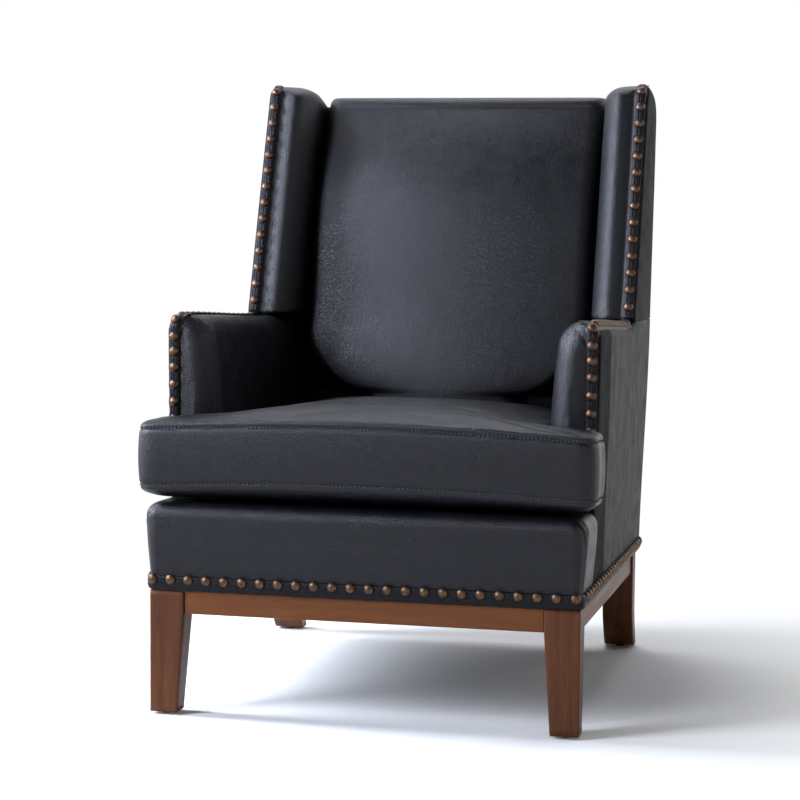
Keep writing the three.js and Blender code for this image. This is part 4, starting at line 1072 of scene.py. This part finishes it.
def panel_skin(front, rear, top, outer_face, thickness, edge_round, columns, proud=None):
    """A closed skin on the side: an outer and an inner sheet over the same grid of depth and height,
    joined round the edge; the outer one is rounded off towards its edges and may stand proud."""
    floor, rows, front_round = BODY_FLOOR, 70, 0.006
    u = np.linspace(0, 1, columns)
    u = 0.5 - 0.5 * np.cos(np.pi * u) * (1 - 0.25 * np.sin(np.pi * u) ** 2)
    v = np.linspace(0, 1, rows)
    level = floor + (top(0.0) - floor) * v[:, None] * np.ones(columns)[None]
    high = top(front(level) + (rear(level) - front(level)) * u[None])
    z = floor + (high - floor) * v[:, None]
    y = front(z) + (rear(z) - front(z)) * u[None]
    x = outer_face(z) - quarter(np.maximum(y - front(z), 0), front_round) - edge_round(y, z)
    if proud:
        x = x + proud(y, z)
    outer = np.stack([x, y, z], -1)
    inner = np.stack([outer_face(z) - thickness, y, z], -1)
    points = np.concatenate([outer.reshape(-1, 3), inner.reshape(-1, 3)])
    faces = sheet_faces(rows, columns)
    count = rows * columns
    index = np.arange(count).reshape(rows, columns)
    loop = np.concatenate([index[0, :-1], index[:-1, -1], index[-1, :0:-1], index[:0:-1, 0]])
    following = np.roll(loop, -1)
    rim = np.stack([following, loop, loop + count, following + count], -1)
    return points, np.concatenate([faces, faces[:, ::-1] + count, rim]).tolist()


def outside_arm_panels():
    """The leather panels outside the arms: a plain strip behind the arm's front, darker by painted shade, and
    a panel behind it, lighter by painted sheen, with soft upright folds, bells of a depth about their places."""
    wide, high = ARM_EDGE
    strip_back, strip_sunk, strip_gap, least = 0.001, 0.0005, 0.0006, 0.0012

    def upright(y):
        """An upright front or rear edge at a depth."""
        return lambda z: np.full(np.shape(z), y)

    def crest(y):
        """The arm's top with its rounded front."""
        return arm_top(y) - quarter(np.asarray(y) - ARM_FRONT, ARM_RADIUS)

    def top(y):
        """The panel's top, below the arm's rounded outer edge."""
        return crest(y) - arm_edge(BODY_HALF - PANEL, y, arm_top(y)) - FIT

    def edge_round(y, z):
        """How far the arm's rounded outer edge takes the panel's face in, which keeps a least thickness."""
        reach = high * before_wing(y) + 1e-6
        return np.minimum(edge_drop(z - crest(y) + reach, reach, wide), PANEL - least)

    def folds(y, z):
        """Four leaning folds, each with its place, width and height, fading towards the floor."""
        front_ones = ((-0.120, 0.026, 0.0016), (-0.035, 0.034, 0.0012))
        places = (*front_ones, (0.085, 0.040, 0.0018), (0.215, 0.036, 0.0012))
        fade_from, fade_height, leaning, upright_at = 0.30, 0.33, 0.05, 0.5
        fade = 0.25 + 0.75 * smooth((z - fade_from) / fade_height)
        shift = leaning * (z - upright_at)
        return fade * sum(h * bell((y - c - shift) / w) for c, w, h in places)

    split = ARM_FRONT + ARM_STRIP
    front, seam = upright(ARM_FRONT + strip_back), upright(split - strip_gap)
    strip = panel_skin(
        front, seam, top, lambda z: outer_x(z) - strip_sunk, PANEL - 2 * strip_sunk, edge_round, 18
    )
    panel = panel_skin(upright(split), rear_y, top, outer_x, PANEL, edge_round, 90, folds)
    for name, side in SIDES.items():
        for key, (points, faces) in (("strip", strip), ("panel", panel)):
            points = mirrored_copy(pitched(points), side)
            obj = new_mesh(f"outside_arm_{key}_cover_{name}", points, faces)
            # Painted shade on the strip, painted sheen on the panel behind it.
            if key == "strip":
                finish_piece(obj, "Strip leather")
            else:
                finish_piece(obj, "Side leather", (f"outside_arm_panel_{name}",))


def wing_rings(x0, x1, radii, corner_steps, side_steps, crown, rear_gap, inner_round, outer_round):
    """Raked cross-sections of a wing from its floor to its top, the top drawn in by a quarter circle and
    sloping down towards the rear; crown swells the front face between its edges."""
    lower_round, lower_reach, crown_depth = 0.010, 0.006, 0.06
    shoulder = WING_TOP - WING_TOP_RADIUS
    low = quarter_turn(7)[:-1]
    bottom = WING_FLOOR + lower_round * (1 - np.cos(low))
    body = spread(WING_FLOOR + lower_round, shoulder, 90)
    turn = quarter_turn(14)[1:]
    z = np.concatenate([bottom, body, shoulder + WING_TOP_RADIUS * np.sin(turn)])
    lower_inset, top_inset = lower_reach * (1 - np.sin(low)), WING_TOP_RADIUS * (1 - np.cos(turn))
    inset = np.concatenate([lower_inset, np.zeros(len(body)), top_inset])
    slope = WING_REAR_DROP * np.clip((z - WING_FLOOR) / (shoulder - WING_FLOOR), 0, 1) ** 2
    y0 = wing_y(z) + inset
    y1 = rear_y(z - slope) - rear_gap - quarter(WING_TOP - z, WING_REAR_RADIUS)
    far = x1 - edge_drop(z - WING_TOP + WING_EDGE[1], WING_EDGE[1], outer_round)
    ring = rounded_rect(x0 + inset * inner_round, y0, far, y1, radii, corner_steps, side_steps)
    x, y = ring[..., 0], ring[..., 1]
    across = np.clip((x - x0) / (x1 - x0), 0, 1)
    ahead = np.clip(1 - (y - y0[:, None]) / crown_depth, 0, 1)
    y = y - crown * ahead * np.sin(np.pi * np.clip((across + 0.10) / 0.84, 0, 1)) ** 2
    back = np.clip((y - y0[:, None]) / (y1 - y0)[:, None], 0, None)
    return np.stack([x, y, z[:, None] - slope[:, None] * back**1.8], -1)


def wing_folds():
    """The small folds at a wing's lower inner corner, and the dip beside its band."""
    below_top, from_outside = 0.012, 0.026
    heights = spread(WING_FLOOR, WING_TOP - below_top, 200)
    across = np.full(len(heights), BODY_HALF - from_outside)
    beside = np.stack([across, wing_y(heights), heights], -1)
    corner = folds_from(
        (WING_INNER, wing_y(WING_FLOOR), WING_FLOOR),
        (
            ((0.010, 0, 0.004), (0.020, 0, 0.012), (0.034, 0, 0.018), 0.0018, 0.0026),
            ((0.006, 0.012, 0.006), (0.010, 0.004, 0.020), (0.018, 0, 0.036), 0.0016, 0.0026),
        ),
    )
    return [*corner, (beside, 0.0032, 0.0044)]


def wing_pads():
    """Both wing pads, each with a roll along its inner front edge."""
    radii = [bpy.context.scene.armchair_sizes.wing_roll, 0.004, 0.003, 0.010]
    outer = BODY_HALF - PANEL - FIT
    rings = wing_rings(WING_INNER, outer, radii, 22, [24, 50, 20, 50], WING_CROWN, PANEL + FIT, 1, 0)
    for name, side in SIDES.items():
        obj = new_mesh(f"wing_cover_{name}", *closed_rings(mirrored_copy(pitched(rings), side)))
        fold_in(obj, wing_folds(), side)
        finish_piece(obj, "Leather", (f"wing_pad_{name}",))


def outside_wing_panels():
    """The leather panels outside the wings, swollen by a product of sines."""
    inner, radii = BODY_HALF - PANEL, [0.001, 0.0076, 0.003, 0.001]
    rings = wing_rings(inner, BODY_HALF, radii, 6, [3, 44, 3, 44], 0.0, 0.0, 0, WING_EDGE[0] * 0.86)
    x, y = rings[..., 0], rings[..., 1]
    front, rear = y.min(1, keepdims=True), y.max(1, keepdims=True)
    up = np.linspace(0, 1, len(rings))[:, None]
    outer = np.clip((x - inner) / PANEL, 0, 1)
    swell = np.sin(np.pi * (y - front) / (rear - front)) * np.sin(np.pi * up) ** 0.5
    rings[..., 0] += WING_PLUMP * outer * swell
    for name, side in SIDES.items():
        obj = new_mesh(f"outside_wing_cover_{name}", *closed_rings(mirrored_copy(pitched(rings), side)))
        finish_piece(obj, "Wing leather", (f"outside_wing_panel_{name}",))


def back_face(z):
    """The inside back's face at its side edges: a natural cubic spline through five places."""
    below_top = 0.034
    height = BACK_FLOOR + (BACK_TOP - below_top - BACK_FLOOR) * np.array([0, 0.22, 0.45, 0.75, 1])
    depth = BACK_FACE + BACK_FACE_REACH * np.array([0.06, 0, 0.26, 0.54, 0.98])
    h = np.diff(height)
    system, values = np.eye(len(height)), np.zeros(len(height))
    for i in (1, 2, 3):
        system[i, i - 1 : i + 2] = h[i - 1], 2 * (h[i - 1] + h[i]), h[i]
        values[i] = 6 * ((depth[i + 1] - depth[i]) / h[i] - (depth[i] - depth[i - 1]) / h[i - 1])
    bend = np.linalg.solve(system, values)
    k = np.clip(np.searchsorted(height, z) - 1, 0, 3)
    a, b = height[k + 1] - z, z - height[k]
    return (
        (bend[k] * a**3 + bend[k + 1] * b**3) / (6 * h[k])
        + (depth[k] / h[k] - bend[k] * h[k] / 6) * a
        + (depth[k + 1] / h[k] - bend[k + 1] * h[k] / 6) * b
    )


def inside_back():
    """The inside back: sections with a parabola's crown, quarter-round sides and lower corners drawn in
    along a quarter circle in front of set-back shoulders."""
    body = spread(BACK_FLOOR, BACK_TOP - BACK_ROUND, 150)
    turn = quarter_turn(16)[1:]
    z = np.concatenate([body, BACK_TOP - BACK_ROUND + BACK_ROUND * np.sin(turn)])
    inset = np.concatenate([np.zeros(len(body)), BACK_ROUND * (1 - np.cos(turn))])
    face = back_face(np.minimum(z, BACK_TOP - BACK_ROUND)) + inset
    reach, begins, over_height = BACK_CORNER
    low = np.clip((begins - z) / over_height, 0, 1)
    narrow = inset * 0.35
    half = BACK_HALF - reach * (1 - np.sqrt(1 - low**2)) - narrow
    middle_share = (2 * z - BACK_FLOOR - BACK_TOP) / (BACK_TOP - BACK_FLOOR)
    crown = BACK_CROWN * (1 - np.abs(middle_share) ** 4)
    rear = rear_y(z) - PANEL - FIT
    edge = np.minimum(BACK_EDGE, (rear - face) * 0.7)
    broad = np.maximum(BACK_HALF - narrow, half + 0.001)
    shoulder = np.minimum(face + edge + BACK_SHOULDER, rear - 0.001)
    arc = quarter_turn(17)
    corner_x = half[:, None] - edge[:, None] * (1 - np.cos(arc))
    corner_y = face[:, None] + edge[:, None] * (1 - np.sin(arc))
    front_x = (half - edge)[:, None] * np.linspace(1, -1, 101)[1:-1]
    front_y = np.broadcast_to(face[:, None], front_x.shape)
    x = np.concatenate([corner_x, front_x, -corner_x[:, ::-1]], 1)
    y = np.concatenate([corner_y, front_y, corner_y[:, ::-1]], 1)
    y = y - crown[:, None] * (1 - (x / half[:, None]) ** 2)

    def run(start, end, count):
        """Straight from one place to another, the end left out."""
        s = np.linspace(0, 1, count + 1)[:-1]
        return [a[:, None] + (b - a)[:, None] * s for a, b in zip(start, end)]

    right = ((broad, rear), (broad, shoulder), (half, face + edge))
    left = [(-a, b) for a, b in right[::-1]]
    to_shoulder = run(left[0], left[1], 8)
    parts = [
        run(right[0], right[1], 6),
        run(right[1], right[2], 8),
        (x, y),
        [values[:, 1:] for values in to_shoulder],
        run(left[1], left[2], 6),
        run(left[2], right[0], 30),
    ]
    xs, ys = (np.concatenate(values, 1) for values in zip(*parts))
    rings = np.stack([xs, ys, np.broadcast_to(z[:, None], xs.shape)], -1)
    obj = new_mesh("inside_back_cover", *closed_rings(pitched(rings)))
    finish_piece(obj, "Leather", ("inside_back_pad",))


def outside_back():
    """The outside back: a leaning skin between the side panels, crowned a little between its edges."""
    round_off = OUTSIDE_BACK_ROUND
    turn = quarter_turn(9)[1:]
    upright = spread(BODY_FLOOR, REAR_TOP - round_off, 60)
    z = np.concatenate([upright, REAR_TOP - round_off * (1 - np.sin(turn))])
    drop = np.concatenate([np.zeros(len(upright)), PANEL * 0.85 * (1 - np.cos(turn))])
    gap, inner_corner, outer_corner = 0.001, 0.001, 0.003
    half = outer_x(z) - PANEL - gap
    inner, outer = rear_y(z) - PANEL, rear_y(z) - drop
    radii = [inner_corner] * 2 + [outer_corner] * 2
    ring = rounded_rect(-half, inner, half, outer, radii, 4, [60, 2, 60, 2])
    rings = at_heights(ring, z)
    across = 1 - (rings[..., 0] / half[:, None]) ** 2
    outside = rings[..., 1] > (inner + PANEL / 2)[:, None]
    rings[..., 1] += np.where(outside, OUTSIDE_BACK_CROWN * across, 0)
    obj = new_mesh("outside_back_cover", *closed_rings(pitched(rings)))
    # Painted sheen: the outside back takes the lighter side leather.
    finish_piece(obj, "Side leather", ("outside_back_panel",))


def path_points(path, distances):
    """Points and outward normals of a plane path at distances along it, and the path's length."""
    run = np.concatenate([[0], np.cumsum(np.linalg.norm(np.diff(path, axis=0), axis=1))])
    step = 0.004

    def along(distance):
        """The path's points at distances."""
        return np.stack([np.interp(distance, run, path[:, k]) for k in range(2)], -1)

    heading = unit(along(distances + step) - along(distances - step))
    return along(distances), np.stack([-heading[:, 1], heading[:, 0]], -1), run[-1]


def band(name, path, inner, width, rise, distances, to_chair, node_name, edge=None):
    """A leather band on a plane path, carried across its width. Its back lies on the path; its face is
    domed across, scalloped and puckered between the nails. It is let down by edge(across, u, v), as the
    rounded outer edge below it is. to_chair turns (u, v, w) into the chair."""
    sizes = bpy.context.scene.armchair_sizes
    length = path_points(path, np.zeros(1))[2]
    nails = distances(length)
    thick, step, heading_step = sizes.band_thickness, 0.0024, 0.003
    scallop_depth, ridge_height, ridge_count, puff_height = 0.0014, 0.00035, 3.5, 0.0007
    s = np.linspace(0, length, max(8, round(length / step)))
    at, normal, _ = path_points(path, s)
    t = np.linspace(0, 1, 15)
    near = np.abs(s[:, None] - nails[None]).min(1)
    between = smooth(near / ((nails[1] - nails[0]) / 2))[:, None]
    scallop = scallop_depth * between
    w = inner + scallop + (width - 2 * scallop) * t
    dome = 1 - np.abs(2 * t - 1) ** 5
    waves = np.cos(2 * np.pi * t * ridge_count)[None]
    ridges = waves * (0.15 + 0.85 * between) * ridge_height * dome[None]
    puff = puff_height * between * np.sin(np.pi * t)[None]
    high = BAND_GAP + BAND_EDGE + (thick - BAND_EDGE) * dome[None] + ridges + puff
    low = np.full_like(high, BAND_GAP)

    def settled(spot, across):
        """Places in (u, v) and across, let down by the edge and turned into the chair."""
        place = np.concatenate([spot, across[..., None]], -1)
        if edge:
            place[..., 1] -= edge(across, spot[..., 0], spot[..., 1])
        return to_chair(place)

    def lifted(height):
        """The band's whole face at heights above its path."""
        return settled(at[:, None] + normal[:, None] * height[..., None], w)

    def seated(height, along=0.0, across=0.0):
        """The nails' places at a height, or a step along or across from them."""
        spot, out, _ = path_points(path, nails + along)
        return settled(spot + out * height, np.full(len(nails), inner + rise + across))

    rings = np.concatenate([lifted(high), lifted(low)[:, ::-1]], 1)
    obj = new_mesh(f"{name}_leather", *closed_rings(pitched(rings), (0.5,)))
    finish_piece(obj, "Band leather", (node_name,))
    where = seated(BAND_GAP + thick)
    run = seated(0.0, heading_step) - seated(0.0, -heading_step)
    cross = seated(0.0, 0.0, heading_step) - seated(0.0, 0.0, -heading_step)
    out = unit(np.cross(run, cross))
    out *= np.sign(((where - seated(0.0)) * out).sum(1))[:, None]
    heads = nail_heads(f"{name}_nails", pitched(where), out, sizes.nail_radius, sizes.nail_height)
    finish_piece(heads, "Antique nail")


def base_band():
    """The band above the wood: round the front and back along both sides."""
    x, y, r = BASE_HALF, BODY_FRONT, BASE_BAND_RADIUS
    rear = rear_y(BODY_FLOOR) - FIT
    turn = -quarter_turn(9)
    right = np.stack([x - r + r * np.cos(turn), y + r + r * np.sin(turn)], -1)
    left = np.stack([-x + r + r * np.cos(turn - np.pi / 2), y + r + r * np.sin(turn - np.pi / 2)], -1)
    path = np.concatenate([[[x, rear]], right, left, [[-x, rear]]])

    def places(length):
        """Nails on both sides of the front's middle, half a pitch from it."""
        pitch = BASE_NAIL_PITCH
        half = math.floor((length - pitch) / 2 / pitch)
        return length / 2 + (np.arange(2 * half + 2) - half) * pitch - pitch / 2

    floor = BODY_FLOOR + FIT
    band("base_band", path, floor, BASE_BAND_WIDTH, BASE_NAIL_RISE, places, lambda p: p, "base_nail_band")


def side_bands(key, path, inset, places, edge):
    """A band and its mirror image on the two sides. Their paths are in (depth, height); the third axis
    runs across."""
    for name, side in SIDES.items():
        band(
            f"{key}_band_{name}",
            path,
            BODY_HALF - inset,
            SIDE_BAND_WIDTH,
            SIDE_BAND_WIDTH / 2,
            places,
            lambda p, side=side: np.stack([side * p[..., 2], p[..., 0], p[..., 1]], -1),
            f"{key}_nail_band_{name}",
            edge,
        )


def arm_bands():
    """The bands up the arm fronts and back along the arms' outer top edges."""
    above_border, before_wing_pad = 0.004, 0.0134
    turn = quarter_turn(9)
    y, z = ARM_FRONT + ARM_RADIUS * (1 - np.cos(turn)), ARM_TOP - ARM_RADIUS * (1 - np.sin(turn))
    back = spread(ARM_FRONT + ARM_RADIUS, wing_y(ARM_TOP_REAR) - before_wing_pad, 20)[1:]
    start = [[ARM_FRONT, BORDER_TOP + above_border]]
    path = np.concatenate([start, np.stack([y, z], -1), np.stack([back, arm_top(back)], -1)])

    def places(length):
        """Nails from the border upwards and back."""
        count = math.floor((length - ARM_FIRST_NAIL - NAIL_END) / ARM_NAIL_PITCH) + 1
        return ARM_FIRST_NAIL + ARM_NAIL_PITCH * np.arange(count)

    side_bands("arm", path, ARM_BAND_INSET, places, arm_edge)


def wing_bands():
    """The bands up the wings' raked fronts and over their rounded tops."""
    above_floor, turn_share = 0.004, 0.75
    floor = WING_FLOOR + above_floor
    turn = quarter_turn(8) * turn_share
    z = WING_TOP - WING_TOP_RADIUS + WING_TOP_RADIUS * np.sin(turn)
    top = np.stack([wing_y(z) + WING_TOP_RADIUS * (1 - np.cos(turn)), z], -1)
    path = np.concatenate([[[wing_y(floor), floor]], top])

    def places(length):
        """As many nails as fit, with equal ends."""
        count = math.floor((length - 2 * NAIL_END) / WING_NAIL_PITCH) + 1
        return (length - (count - 1) * WING_NAIL_PITCH) / 2 + np.arange(count) * WING_NAIL_PITCH

    side_bands("wing", path, WING_BAND_INSET, places, wing_edge)


def leg_form(widths, fronts, depths, z):
    """A leg: rounded rectangles at heights z, each with its own width, front and depth; its top follows
    the body's fall."""
    fall_from = 0.150
    outer = np.full(len(z), LEG_OUTER)
    ring = rounded_rect(outer - widths, fronts, outer, fronts + depths, [LEG_RADIUS] * 4, 4, [4, 4, 4, 4])
    rings = at_heights(ring, z)
    share = np.clip((rings[..., 2:] - fall_from) / (WOOD_TOP - FIT - fall_from), 0, 1)
    return rings + (pitched(rings) - rings) * share


def legs():
    """Tapered front legs and back legs whose feet sweep back by a parabola."""
    top, taper_top, sweep_top = WOOD_TOP - FIT, 0.163, 0.09
    z = np.concatenate([spread(LEG_FOOT, taper_top, 12), spread(taper_top, top, 5)[1:]])
    t = np.clip((z - LEG_FOOT) / (taper_top - LEG_FOOT), 0, 1)
    wide, wider, deep, deeper, face = 0.045, 0.011, 0.038, 0.012, -0.416
    front = leg_form(wide + wider * t, np.full(len(z), face), deep + deeper * t, z)
    z = np.concatenate([spread(LEG_FOOT, sweep_top, 14), spread(sweep_top, top, 8)[1:]])
    swept = np.clip((sweep_top - z) / (sweep_top - LEG_FOOT), 0, 1) ** 2
    wide, deep, shallower, face, sweep = 0.0545, 0.040, 0.009, 0.263, 0.038
    back = leg_form(np.full(len(z), wide), face + sweep * swept, deep - shallower * swept, z)
    for rings, key in ((front, "front_leg"), (back, "back_leg")):
        for name, side in SIDES.items():
            obj = new_mesh(f"{key}_wood_{name}", *closed_rings(mirrored_copy(rings, side), (0.6,)))
            finish_piece(obj, "Walnut leg", (f"{key}_{name}",))


def dust_cover():
    """The cloth under the seat, stretched below the rails and sagging by a product of sines."""
    low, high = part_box("dust_cover")
    sag, steps = 0.004, 40
    x, y = spread(low.x, high.x, steps), spread(low.y, high.y, steps)
    bow_x, bow_y = (np.sin(np.pi * (v - v[0]) / (v[-1] - v[0])) for v in (x, y))
    gx, gy = np.meshgrid(x, y, indexing="ij")
    z = WOOD_TOP + FIT - sag * bow_x[:, None] * bow_y[None]
    points = pitched(np.stack([gx, gy, z], -1))
    obj = new_mesh("dust_cover_cloth", points, sheet_faces(steps, steps).tolist())
    thick = obj.modifiers.new("Solidify", "SOLIDIFY")
    thick.thickness = 0.001
    thick.offset = 0
    apply_modifiers(obj)
    finish_piece(obj, "Black cloth", ("dust_cover",))


def deck():
    """The cloth-covered pad over the springs, rounded at its edge and slightly crowned."""
    low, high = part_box("deck_pad")
    thick, corner = 0.026, 0.006
    rise = np.array([0, 0.25, 0.6, 0.8, 0.92, 1.0, 1.0, 1.0])
    inset = np.array([0.004, 0, 0, 0.002, 0.005, 0.012, 0.05, 0.12])
    sunk = np.array([0, 0, 0, 0, 0, 0.001, 0.0003, 0])
    z = BORDER_TOP - thick + thick * rise - sunk
    sides = (low.x + inset, low.y + inset, high.x - inset, high.y - inset)
    ring = rounded_rect(*sides, [corner] * 4, 4, [24, 24, 24, 24])
    obj = new_mesh("deck_cover", *closed_rings(pitched(at_heights(ring, z))))
    finish_piece(obj, "Deck cloth", ("deck_pad",))


def carried_over():
    """Finishes of the frame's own solids: eased wooden edges, steel, webbing and glides."""
    finishes = (
        ("base_rail_front", "Walnut rail across"),
        ("base_rail_back", "Walnut rail across"),
        ("base_rail_", "Walnut rail along"),
        ("glide_", "Glide"),
        ("leg_bolt_", "Steel"),
        ("seat_spring_", "Steel"),
        ("back_webbing_", "Webbing"),
    )
    for name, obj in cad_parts.items():
        if obj.type != "MESH" or obj.hide_render:
            continue
        finish = next((f for key, f in finishes if name.startswith(key)), "Frame wood")
        obj.data.materials.clear()
        obj.data.materials.append(finish_of(finish))
        if finish.startswith(("Walnut", "Frame")):
            weld = obj.modifiers.new("Weld", "WELD")
            weld.merge_threshold = 0.00001
            ease = obj.modifiers.new("Bevel", "BEVEL")
            ease.width = 0.0012
            ease.segments = 2
            ease.limit_method = "ANGLE"
            ease.angle_limit = math.radians(35)


# Stage


def straight_rays(owner):
    """1 for what the camera sees or a gloss mirrors, 0 for the other rays, and the camera's own share."""
    rays = node(owner, "ShaderNodeLightPath").outputs
    by_camera = rays["Is Camera Ray"]
    return worked_out(owner, "ADD", by_camera, rays["Is Glossy Ray"], clamped=True), by_camera


def studio_floor():
    """A pale floor that keeps the chair's shadow and fades into the white surroundings."""
    material, shader = tree("Floor")
    place = mapped(material)
    speck = ramp(material, noise(material, place, 60.0, 2.0), 0.3, 0.7, 0, 1)
    link(material, tones(material, (0.93, 0.93, 0.93), speck, 0.99, 1.01), shader.inputs["Base Color"])
    shader.inputs["Roughness"].default_value = 0.9
    far = node(material, "ShaderNodeVectorMath", None, {0: place}, operation="LENGTH").outputs["Value"]
    seen, _ = straight_rays(material)
    shown = worked_out(material, "MULTIPLY", ramp(material, far, 0.45, 1.15, 0.0, 1.0), seen)
    white = node(material, "ShaderNodeEmission", {"Color": (1, 1, 1, 1), "Strength": 1.0})
    surfaces = {0: shown, 1: shader.outputs[0], 2: white.outputs[0]}
    mix = node(material, "ShaderNodeMixShader", None, surfaces)
    output = next(n for n in material.node_tree.nodes if n.type == "OUTPUT_MATERIAL")
    link(material, mix.outputs[0], output.inputs[0])
    reach, drop = 6.0, 0.0002
    corners = [[-reach, -reach, -drop], [reach, -reach, -drop], [reach, reach, -drop], [-reach, reach, -drop]]
    floor = new_mesh("floor", corners, [[0, 1, 2, 3]], closed=False)
    floor.data.materials.append(material)


def surroundings():
    """White for the camera, white below and darker overhead for the gloss, and faint for the rest."""
    world = bpy.data.worlds.new("Studio")
    bpy.context.scene.world = world
    world.use_nodes = True
    world.node_tree.nodes.clear()
    direction = node(world, "ShaderNodeTexCoord").outputs["Generated"]
    height = node(world, "ShaderNodeSeparateXYZ", None, {0: direction}).outputs[2]
    seen, by_camera = straight_rays(world)
    strength = worked_out(world, "MAXIMUM", ramp(world, height, 0.42, 0.80, 1.0, 0.10), by_camera)
    around = node(world, "ShaderNodeBackground", {"Color": (0.93, 0.96, 1.0, 1), "Strength": 0.10})
    white = node(world, "ShaderNodeBackground", {"Color": (1, 1, 1, 1)}, {"Strength": strength})
    backgrounds = {0: seen, 1: around.outputs[0], 2: white.outputs[0]}
    mix = node(world, "ShaderNodeMixShader", None, backgrounds)
    node(world, "ShaderNodeOutputWorld", None, {0: mix.outputs[0]})


def lamps():
    """Soft lamps: their places, sizes in metres, powers in watts and colours."""
    aimed_at = Vector((0, 0, 0.5))
    rows = (
        ("Key", (-2.4, -2.1, 1.85), (1.0, 1.6), 145, (0.80, 0.86, 1.0)),
        ("Side", (-3.0, -0.25, 2.0), (0.6, 2.6), 262, (0.80, 0.87, 1.0)),
        ("Top", (-0.3, 1.4, 2.8), (2.4, 1.0), 46, (0.91, 0.94, 1.0)),
        ("Rear", (2.9, 2.6, 1.8), (2.2, 2.2), 28, (1.0, 1.0, 1.0)),
    )
    for name, at, size, power, colour in rows:
        light = bpy.data.lights.new(name, "AREA")
        light.shape = "RECTANGLE"
        light.size, light.size_y = size
        light.energy = power
        light.color = colour
        lamp = bpy.data.objects.new(name, light)
        lamp.location = at
        lamp.rotation_euler = (aimed_at - Vector(at)).to_track_quat("-Z", "Y").to_euler()
        bpy.context.scene.collection.objects.link(lamp)


def camera():
    """The camera at the photograph's angle."""
    data = bpy.data.cameras.new("Camera")
    data.sensor_fit = "HORIZONTAL"
    data.sensor_width = SENSOR
    data.lens = SENSOR * FOCAL_PIXELS / PICTURE
    data.clip_end = 50
    yaw, down, roll = (math.radians(a) for a in CAMERA_DEGREES)
    look = Vector((-math.sin(yaw) * math.cos(down), math.cos(yaw) * math.cos(down), -math.sin(down)))
    right = Vector((math.cos(yaw), math.sin(yaw), 0))
    up = right.cross(look)
    x_axis = right * math.cos(roll) + up * math.sin(roll)
    y_axis = up * math.cos(roll) - right * math.sin(roll)
    turn = Matrix((x_axis, y_axis, -look)).transposed()
    made = bpy.data.objects.new("Camera", data)
    made.matrix_world = Matrix.Translation(CAMERA_PLACE) @ turn.to_4x4()
    scene = bpy.context.scene
    scene.collection.objects.link(made)
    scene.camera = made
    scene.view_settings.view_transform = "Standard"


# Operators


class ARMCHAIR_OT_stage(bpy.types.Operator):
    """Make the floor, the lights and the camera"""

    bl_idname = "armchair.stage"
    bl_label = "Stage"

    def execute(self, context):
        studio_floor()
        surroundings()
        lamps()
        camera()
        return {"FINISHED"}


class ARMCHAIR_OT_cushion(bpy.types.Operator):
    """Make the loose seat cushion and its stitches"""

    bl_idname = "armchair.cushion"
    bl_label = "Seat cushion"

    def execute(self, context):
        seat_cushion()
        return {"FINISHED"}


class ARMCHAIR_OT_pads(bpy.types.Operator):
    """Make the padded border, arms, wings and inside back"""

    bl_idname = "armchair.pads"
    bl_label = "Pads"

    def execute(self, context):
        front_border()
        arm_pads()
        wing_pads()
        inside_back()
        return {"FINISHED"}


class ARMCHAIR_OT_panels(bpy.types.Operator):
    """Make the outside panels of the arms, wings and back"""

    bl_idname = "armchair.panels"
    bl_label = "Outside panels"

    def execute(self, context):
        outside_arm_panels()
        outside_wing_panels()
        outside_back()
        return {"FINISHED"}


class ARMCHAIR_OT_trim(bpy.types.Operator):
    """Make the leather bands and their nails"""

    bl_idname = "armchair.trim"
    bl_label = "Nailhead trim"

    def execute(self, context):
        base_band()
        arm_bands()
        wing_bands()
        return {"FINISHED"}


class ARMCHAIR_OT_base(bpy.types.Operator):
    """Make the legs, the deck and the dust cover, and finish the frame"""

    bl_idname = "armchair.base"
    bl_label = "Base and frame"

    def execute(self, context):
        legs()
        deck()
        dust_cover()
        carried_over()
        return {"FINISHED"}


class ARMCHAIR_PT_panel(bpy.types.Panel):
    """Sizes, colours and steps of the armchair"""

    bl_idname = "ARMCHAIR_PT_panel"
    bl_label = "Armchair"
    bl_space_type = "VIEW_3D"
    bl_region_type = "UI"
    bl_category = "Armchair"

    def draw(self, context):
        for group in (context.scene.armchair_sizes, context.scene.armchair_colours):
            for key in group.bl_rna.properties.keys():
                if key not in ("rna_type", "name"):
                    self.layout.prop(group, key)
        for operator in STEPS:
            self.layout.operator(operator.bl_idname)


STEPS = (
    ARMCHAIR_OT_stage,
    ARMCHAIR_OT_cushion,
    ARMCHAIR_OT_pads,
    ARMCHAIR_OT_panels,
    ARMCHAIR_OT_trim,
    ARMCHAIR_OT_base,
)
CLASSES = (ArmchairSizes, ArmchairColours, *STEPS, ARMCHAIR_PT_panel)


def register():
    """Registers the classes and gives the scene its sizes and colours."""
    for made in CLASSES:
        bpy.utils.register_class(made)
    bpy.types.Scene.armchair_sizes = bpy.props.PointerProperty(type=ArmchairSizes)
    bpy.types.Scene.armchair_colours = bpy.props.PointerProperty(type=ArmchairColours)


def unregister():
    """Takes away what register gave, the other way round."""
    del bpy.types.Scene.armchair_colours
    del bpy.types.Scene.armchair_sizes
    for made in reversed(CLASSES):
        bpy.utils.unregister_class(made)


def main():
    """Makes the armchair and its stage step by step."""
    register()
    bpy.ops.armchair.stage()
    bpy.ops.armchair.cushion()
    bpy.ops.armchair.pads()
    bpy.ops.armchair.panels()
    bpy.ops.armchair.trim()
    bpy.ops.armchair.base()


if __name__ == "__main__":
    main()
